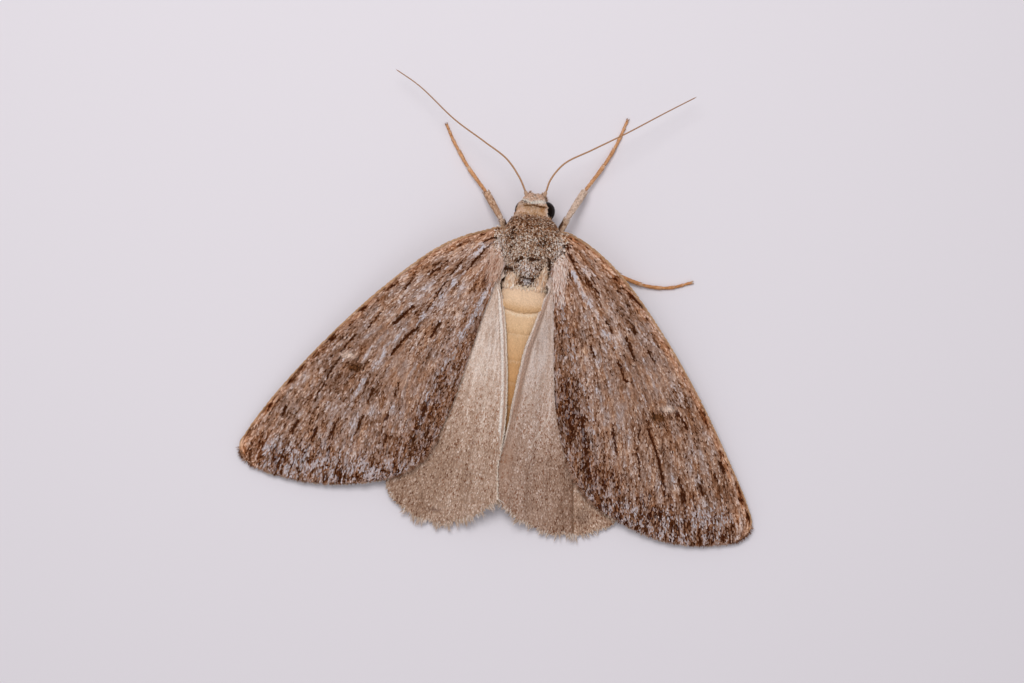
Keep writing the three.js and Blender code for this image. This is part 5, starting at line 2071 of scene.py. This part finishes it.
@dataclass
class Leg:
    """A leg from hip to claws, with its scales.

    Attributes:
        tag: Which leg it is.
        hip: Two places under the thorax.
        knee: The place of the knee.
        ankle: The place of the ankle.
        foot: Places along the foot.
    """

    tag: str
    hip: list
    knee: tuple
    ankle: tuple
    foot: list

    @property
    def side(self) -> Side:
        """Which side the leg is on."""
        return Side.LEFT if self.tag.endswith("l") else Side.RIGHT

    def placed(self, places: list) -> list:
        """Places of (out, back, up) as x, y and z."""
        return [(self.side.value * out, back, up) for out, back, up in places]

    def tubes(self) -> list:
        """The hip, thigh, shin and foot joints."""
        knee, ankle, *foot = self.placed([self.knee, self.ankle, *self.foot])
        hip = self.placed(self.hip)
        tubes = [
            Tube(hip, [0.26, 0.22], rings=12),
            Tube([hip[1], knee], [0.2, 0.22, 0.22, 0.2], rings=24),
            Tube([knee, ankle], [0.15, 0.19, 0.215, 0.225, 0.215], rings=24),
        ]
        toes = Path([ankle] + foot)
        ends = [0.0, 0.39, 0.63, 0.79, 0.9, 1.0]
        for k, (start, end) in enumerate(zip(ends, ends[1:])):
            stretch = toes.at(np.linspace(start - 0.004, end + 0.004, 6))
            radius = 0.112 - 0.009 * k
            radii = [radius * 0.85, radius, radius * 1.16]
            tubes.append(Tube(stretch, radii, rings=14, around=10))
        return tubes

    def build(self, seed: int) -> None:
        """Makes the leg's skin, its scales and its claws.

        Args:
            seed: The seed of the chance values.
        """
        tubes = self.tubes()
        points, faces, tints = [], [], []
        count = 0
        for k, tube in enumerate(tubes):
            points.append(tube.points)
            faces += tube.faces(count)
            count += len(tube.points)
            share = np.append(tube.shares.repeat(tube.around), [0.0, 1.0])
            tints.append(self.colours(k, share, tube.points, np.zeros(len(share))))
        points = np.vstack(points)
        points[:, 2] = np.maximum(points[:, 2], 0.005)
        nodes = [f"{joint}_{self.tag}" for joint in ("femur", "tibia", "tarsus")]
        skin = make_piece("leg_" + self.tag, points, faces, np.vstack(tints), LEG_SKIN)
        declare(skin, "leg", *nodes)
        self.scales(tubes, seed).dress(f"leg_{self.tag}_scales", Vane.SCALE, LEG_SCALES, "leg")
        self.claws()

    def claws(self) -> None:
        """Makes the two claws, and the two spurs of a middle or hind shin."""
        places = self.placed([self.knee, self.ankle, *self.foot[-2:]])
        knee, ankle, before, end = np.array(places)
        ahead, across = self.heading(before, end)
        tubes = []
        for way in (-1, 1):
            bend = end + ahead * 0.09 + across * way * 0.07 + (0, 0, 0.03)
            tip = np.append((end + ahead * 0.17 + across * way * 0.05)[:2], 0.03)
            tubes.append(Tube([end, bend, tip], [0.035, 0.028, 0.008], rings=8, around=8))
        if not self.tag.startswith("fore"):
            ahead, across = self.heading(knee, ankle)
            for way in (-1, 1):
                start = ankle + across * way * 0.1
                tip = start + ahead * (0.5 - 0.1 * way) + across * way * 0.1
                tubes.append(Tube([start, tip], [0.045, 0.035, 0.012], rings=10, around=8))
        points = np.vstack([tube.points for tube in tubes])
        starts = np.cumsum([0] + [len(tube.points) for tube in tubes])
        faces = [face for tube, start in zip(tubes, starts) for face in tube.faces(int(start))]
        tint = np.tile((0.3, 0.14, 0.06), (len(points), 1))
        declare(make_piece("claws_" + self.tag, points, faces, tint, CLAW_HORN), "leg")

    def heading(self, start: Array, end: Array) -> tuple:
        """The directions from one place to another, and across that on the level."""
        ahead = unit(end - start)
        return ahead, unit(np.cross(ahead, UPWARDS))

    def colours(self, joint: int, share: Array, points: Array, scatter: Array) -> Array:
        """Mottled tan shins, thighs dark on the inner side, orange-tan feet with pale joints.

        Args:
            joint: Which joint of the leg the places are on.
            share: Their shares of its length.
            points: The places themselves.
            scatter: A chance value for each of them.

        Returns:
            The colours.
        """
        speck = scatter * 0.4 + 0.3 * LEG_NOISE.at((0.1, 0.1, 0.1), *points.T)
        if joint < 2:
            tan = [(0.3, 0.16, 0.09), (0.64, 0.44, 0.32), (0.9, 0.72, 0.58)]
            colour = ramp(tan, 0.62 + 0.8 * speck) * (1.0, 0.95, 0.88)
            hip, knee = np.array(self.placed([self.hip[1], self.knee]))
            axis = hip[0] + (knee[0] - hip[0]) * share
            inward = (axis - points[:, 0]) * self.side.value / 0.2
            inner = smooth(0.1, 0.5, inward) * smooth(0.2, 0.4, share) * smooth(0.97, 0.85, share)
            colour = blend(colour, (0.07, 0.025, 0.012), 0.95 * inner * joint)
            return blend(colour, (0.68, 0.5, 0.38), smooth(0.9, 0.97, share) * (joint == 1))
        if joint == 2:
            colour = ramp([(0.3, 0.15, 0.08), (0.6, 0.38, 0.25), (0.85, 0.64, 0.5)], 0.5 + 1.0 * speck)
            if self.tag == "fore_r":
                colour = blend(colour, (0.86, 0.74, 0.66), 0.3)
            elif self.tag == "fore_l":
                colour = colour * (0.93, 0.88, 0.84)
            colour = blend(colour, (0.2, 0.09, 0.045), 0.7 * smooth(0.95, 0.99, share))
            return blend(colour, (0.76, 0.58, 0.46), smooth(0.06, 0.02, share))
        colour = ramp([(0.42, 0.17, 0.06), (0.68, 0.34, 0.16), (0.84, 0.52, 0.32)], 0.5 + 0.5 * speck)
        if self.tag.startswith("mid"):
            colour = colour * (0.9, 0.82, 0.72)
        return blend(colour, (0.78, 0.56, 0.4), 0.75 * smooth(0.86, 0.95, share))

    def scales(self, tubes: list, seed: int) -> Roots:
        """Small flat scales lying along every joint.

        Args:
            tubes: The leg's joints.
            seed: The seed of the chance values.

        Returns:
            The scales' roots.
        """
        parts = []
        for k, tube in enumerate(tubes[1:], start=1):
            length = 0.15 if k < 3 else 0.12
            roots, share = tube.roots(760, (0.065, length, 0.02), seed * 10 + k)
            scatter = draws(seed * 10 + k).normal(0, 1, len(share))
            roots.tint = self.colours(k, share, roots.place, scatter)
            roots.unwrap[:, 0] = (k - 1 + share) / len(tubes)
            parts.append(roots)
        roots = Roots.joined(parts)
        roots = roots.kept(roots.place[:, 2] > 0.05)
        return roots.ruffled((0.03, 0.16), 0.15, seed)


LEG_NOISE = Noise(8)
LEGS = [
    Leg("fore_l", [(0.62, -0.1, 1.25), (1.05, 0.85, 0.95)], (2.07, -0.87, 1.8), (3.29, -2.52, 0.72),
        [(4.59, -3.9, 0.4), (5.33, -4.86, 0.24), (5.86, -5.62, 0.13), (6.38, -6.5, 0.12)]),
    Leg("fore_r", [(0.62, -0.1, 1.25), (1.2, 0.85, 0.95)], (2.1, -1.47, 1.8), (3.02, -3.44, 0.72),
        [(4.04, -5.28, 0.4), (4.56, -6.46, 0.2), (4.83, -7.25, 0.13), (5.13, -8.31, 0.12)]),
    Leg("mid_l", [(0.6, 1.3, 1.2), (1.0, 1.95, 0.9)], (3.0, 1.2, 1.55), (5.2, 2.75, 0.65),
        [(6.5, 3.9, 0.3), (7.9, 5.2, 0.13), (9.0, 6.5, 0.12)]),
    Leg("mid_r", [(0.6, 1.3, 1.2), (1.0, 1.95, 0.9)], (3.1, 0.85, 1.55), (5.5, 1.55, 0.72),
        [(7.63, 2.08, 0.3), (9.22, 2.02, 0.13), (10.6, 1.5, 0.12)]),
    Leg("hind_l", [(0.55, 2.2, 1.1), (0.95, 2.85, 0.85)], (2.6, 4.2, 1.35), (3.6, 7.8, 0.55),
        [(4.1, 10.0, 0.28), (4.5, 12.0, 0.13), (4.8, 13.4, 0.12)]),
    Leg("hind_r", [(0.55, 2.2, 1.1), (0.95, 2.85, 0.85)], (2.7, 4.1, 1.35), (3.9, 7.6, 0.55),
        [(4.6, 9.7, 0.28), (5.2, 11.6, 0.13), (5.6, 12.9, 0.12)]),
]


@dataclass
class Feeler:
    """An antenna: a thick pale first joint and a long thread of many short ones.

    Attributes:
        side: Which side it is on.
        scape: The two ends of the first joint.
        thread: Places along the thread.
        joints: How many joints the thread has.
    """

    side: Side
    scape: list
    thread: list
    joints: int = 62

    def build(self) -> None:
        """Makes the feeler."""
        sign = self.side.value
        first = Tube([(sign * x, y, z) for x, y, z in self.scape], [0.1, 0.13, 0.12, 0.095], rings=16)
        line = Path([(sign * x, y, z) for x, y, z in [self.scape[1]] + self.thread])
        steps, around = 5, 10
        rings = self.joints * steps
        share = np.linspace(0.001, 0.999, rings)
        along = unit(line.at(share + 0.004) - line.at(share - 0.004))
        phase = np.arange(rings) % steps / steps
        radius = (0.06 - 0.028 * share) * (0.9 + 0.22 * phase) * np.sqrt(capped((1 - share) * 60))
        loops = hoops(line.at(share), *crosswise(along), radius, around)
        points = np.vstack([first.points, loops, line.at(ENDS)])
        faces = first.faces() + tube_faces(rings, around, len(first.points))
        shade = 0.55 - 0.3 * share + 0.25 * (phase > 0.7)
        browns = [(0.27, 0.12, 0.05), (0.42, 0.22, 0.11), (0.6, 0.38, 0.25)]
        thread = ramp(browns, shade).repeat(around, axis=0)
        thread = np.vstack([thread, thread[:1], thread[-1:]])
        base = np.tile((0.5, 0.32, 0.22), (len(first.points), 1))
        tint = np.vstack([base, thread])
        piece = make_piece("feeler_" + self.side.tag, points, faces, tint, FEELER_SKIN)
        declare(piece, "antenna", "scape_" + self.side.tag, "flagellum_" + self.side.tag)


FEELERS = [
    Feeler(
        Side.LEFT,
        [(0.6, -2.45, 2.62), (0.8, -2.82, 2.82)],
        [(0.86, -2.92, 2.87), (1.22, -3.52, 3.05), (2.2, -4.62, 3.15), (3.78, -5.55, 3.05),
         (5.84, -6.71, 2.75), (8.35, -8.56, 2.25), (10.0, -9.45, 1.85)],
    ),
    Feeler(
        Side.RIGHT,
        [(0.44, -2.6, 2.72), (0.53, -2.95, 2.9)],
        [(0.555, -3.05, 2.95), (0.7, -3.68, 3.12), (1.43, -4.81, 3.22), (3.05, -5.91, 3.1),
         (5.08, -7.27, 2.8), (7.5, -9.02, 2.3), (9.25, -10.25, 1.9)],
    ),
]


@dataclass
class MouthParts:
    """The coiled tongue between two short palps, under the head."""

    turns: float = 1.8
    middle: tuple = (-2.35, 0.98)

    def build(self) -> None:
        """Makes the tongue and the palps."""
        share = np.linspace(0, 1, 40)
        angle = 0.5 * np.pi - share * self.turns * 2 * np.pi
        radius = 0.33 - 0.24 * share
        back, up = self.middle[0] - radius * np.cos(angle), self.middle[1] + radius * np.sin(angle)
        coil = np.column_stack([share * 0, back, up])
        tongue = self._coil(coil, 0.055 - 0.02 * share)
        declare(tongue, "antenna", "proboscis")
        for side in Side:
            places = [(0.42, -1.95, 1.12), (0.48, -2.4, 1.12), (0.42, -2.72, 1.36)]
            places = [(side.value * x, back, up) for x, back, up in places]
            palp = Tube(places, [0.19, 0.2, 0.16, 0.07], rings=26, around=14)
            speck = LEG_NOISE.at((0.08, 0.08, 0.08), *palp.points.T)
            tint = ramp([(0.4, 0.2, 0.1), (0.68, 0.44, 0.3), (0.92, 0.7, 0.55)], 0.5 + 0.35 * speck)
            piece = make_piece("palp_" + side.tag + "_skin", palp.points, palp.faces(), tint, LEG_SKIN)
            declare(piece, "fur", "palp_" + side.tag)
            roots, share = palp.roots(1500, (0.06, 0.2, 0.03), 98)
            scatter = draws(99).normal(0, 1, len(share))
            tans = [(0.4, 0.2, 0.1), (0.7, 0.46, 0.32), (0.94, 0.74, 0.6)]
            roots.tint = ramp(tans, 0.5 + 0.25 * scatter)
            coat = roots.ruffled((0.1, 0.5), 0.3, 98)
            coat.dress("palp_" + side.tag + "_scales", Vane.SCALE, GRAINS, "fur")

    def _coil(self, line: Array, radius: Array) -> Piece:
        """A tube along a flat coil.

        Args:
            line: Places along the coil.
            radius: Its radius at each of them.

        Returns:
            The new object.
        """
        along = unit(np.gradient(line, axis=0))
        across = np.tile((1.0, 0.0, 0.0), (len(line), 1))
        around = 10
        loops = hoops(line, across, np.cross(along, across), radius, around)
        points = np.vstack([loops, line[:1], line[-1:]])
        tint = np.tile((0.3, 0.15, 0.07), (len(points), 1))
        return make_piece("tongue", points, tube_faces(len(line), around), tint, FEELER_SKIN)


# ---- The room ----
@dataclass
class Studio:
    """The camera above the moth, the floor and the lights.

    Attributes:
        aim: The (x, y) place under the camera.
        focus_height: The height at which the picture's width is measured.
        view_width: The width of the picture at that height.
        roll: How far the head is turned from the top of the picture, in degrees.
        lens: The lens, in millimetres.
        sensor: The width of the sensor, in millimetres.
        floor_reach: From the floor's middle to its edges, in metres.
    """

    aim: tuple = (0.35, 6.79)
    focus_height: float = 1.6
    view_width: float = 65.5
    roll: float = 7.66
    lens: float = 100.0
    sensor: float = 36.0
    floor_reach: float = 1.5

    def axes(self) -> tuple:
        """The picture's right and up directions over the floor."""
        angle = math.radians(self.roll)
        right = Vector((-math.cos(angle), -math.sin(angle), 0))
        up = Vector((math.sin(angle), -math.cos(angle), 0))
        return right, up

    def camera(self) -> None:
        """Sets the camera straight above."""
        data = bpy.data.cameras.new("camera")
        data.lens, data.sensor_width = self.lens, self.sensor
        data.clip_start, data.clip_end = 0.005, 20
        camera = set_out("camera", data)
        distance = self.view_width * self.lens / self.sensor
        place = to_frame(np.array([*self.aim, self.focus_height + distance]))
        right, up = self.axes()
        turn = Matrix((right, up, Vector((0, 0, 1)))).transposed().to_4x4()
        camera.matrix_world = Matrix.Translation(Vector(place)) @ turn
        bpy.context.scene.camera = camera

    def floor(self) -> None:
        """Lays the plain floor."""
        reach = self.floor_reach
        corners = [(-reach, -reach, 0), (reach, -reach, 0), (reach, reach, 0), (-reach, reach, 0)]
        mesh = bpy.data.meshes.new("floor")
        mesh.from_pydata(corners, [], [(0, 1, 2, 3)])
        mesh.materials.append(FloorFinish().material())
        set_out("floor", mesh)

    def lamp(self, name: str, towards: tuple, height: float, size: float, power: float) -> None:
        """Hangs one soft lamp, aimed at the moth.

        Args:
            name: Its name.
            towards: How far it stands off in the picture, right and up, in millimetres.
            height: Its height in millimetres.
            size: The side of its square in millimetres.
            power: Its power in watts.
        """
        data = bpy.data.lights.new(name, "AREA")
        data.shape, data.size, data.energy = "SQUARE", size * MM, power
        lamp = set_out(name, data)
        right, up = self.axes()
        centre = Vector(to_frame(np.array([*self.aim, 0.0])))
        place = centre + (right * towards[0] + up * towards[1]) * MM + Vector((0, 0, height * MM))
        turn = (place - centre).to_track_quat("Z", "Y").to_matrix().to_4x4()
        lamp.matrix_world = Matrix.Translation(place) @ turn
        lamp.visible_camera = False

    def build(self) -> None:
        """Makes the whole room."""
        self.camera()
        self.floor()
        self.lamp("main_lamp", (-18, 62), 150, 70, 0.142)
        self.lamp("fill_lamp", (10, -90), 170, 140, 0.032)
        world = bpy.data.worlds.new("room")
        world.use_nodes = True
        sky = world.node_tree.nodes["Background"]
        sky.inputs["Color"].default_value = (0.93, 0.92, 0.95, 1)
        sky.inputs["Strength"].default_value = 0.413
        bpy.context.scene.world = world
        bpy.context.scene.view_settings.view_transform = "Standard"


def main() -> None:
    """Builds the room and the moth."""
    logging.basicConfig(level=logging.INFO, format="%(message)s")
    Studio().build()
    Trunk().build()
    for side in Side:
        Eye(side).build()
        Forewing(side).build()
        Hindwing(side).build()
    for number, leg in enumerate(LEGS):
        leg.build(100 + number)
    for feeler in FEELERS:
        feeler.build()
    MouthParts().build()


if __name__ == "__main__":
    main()
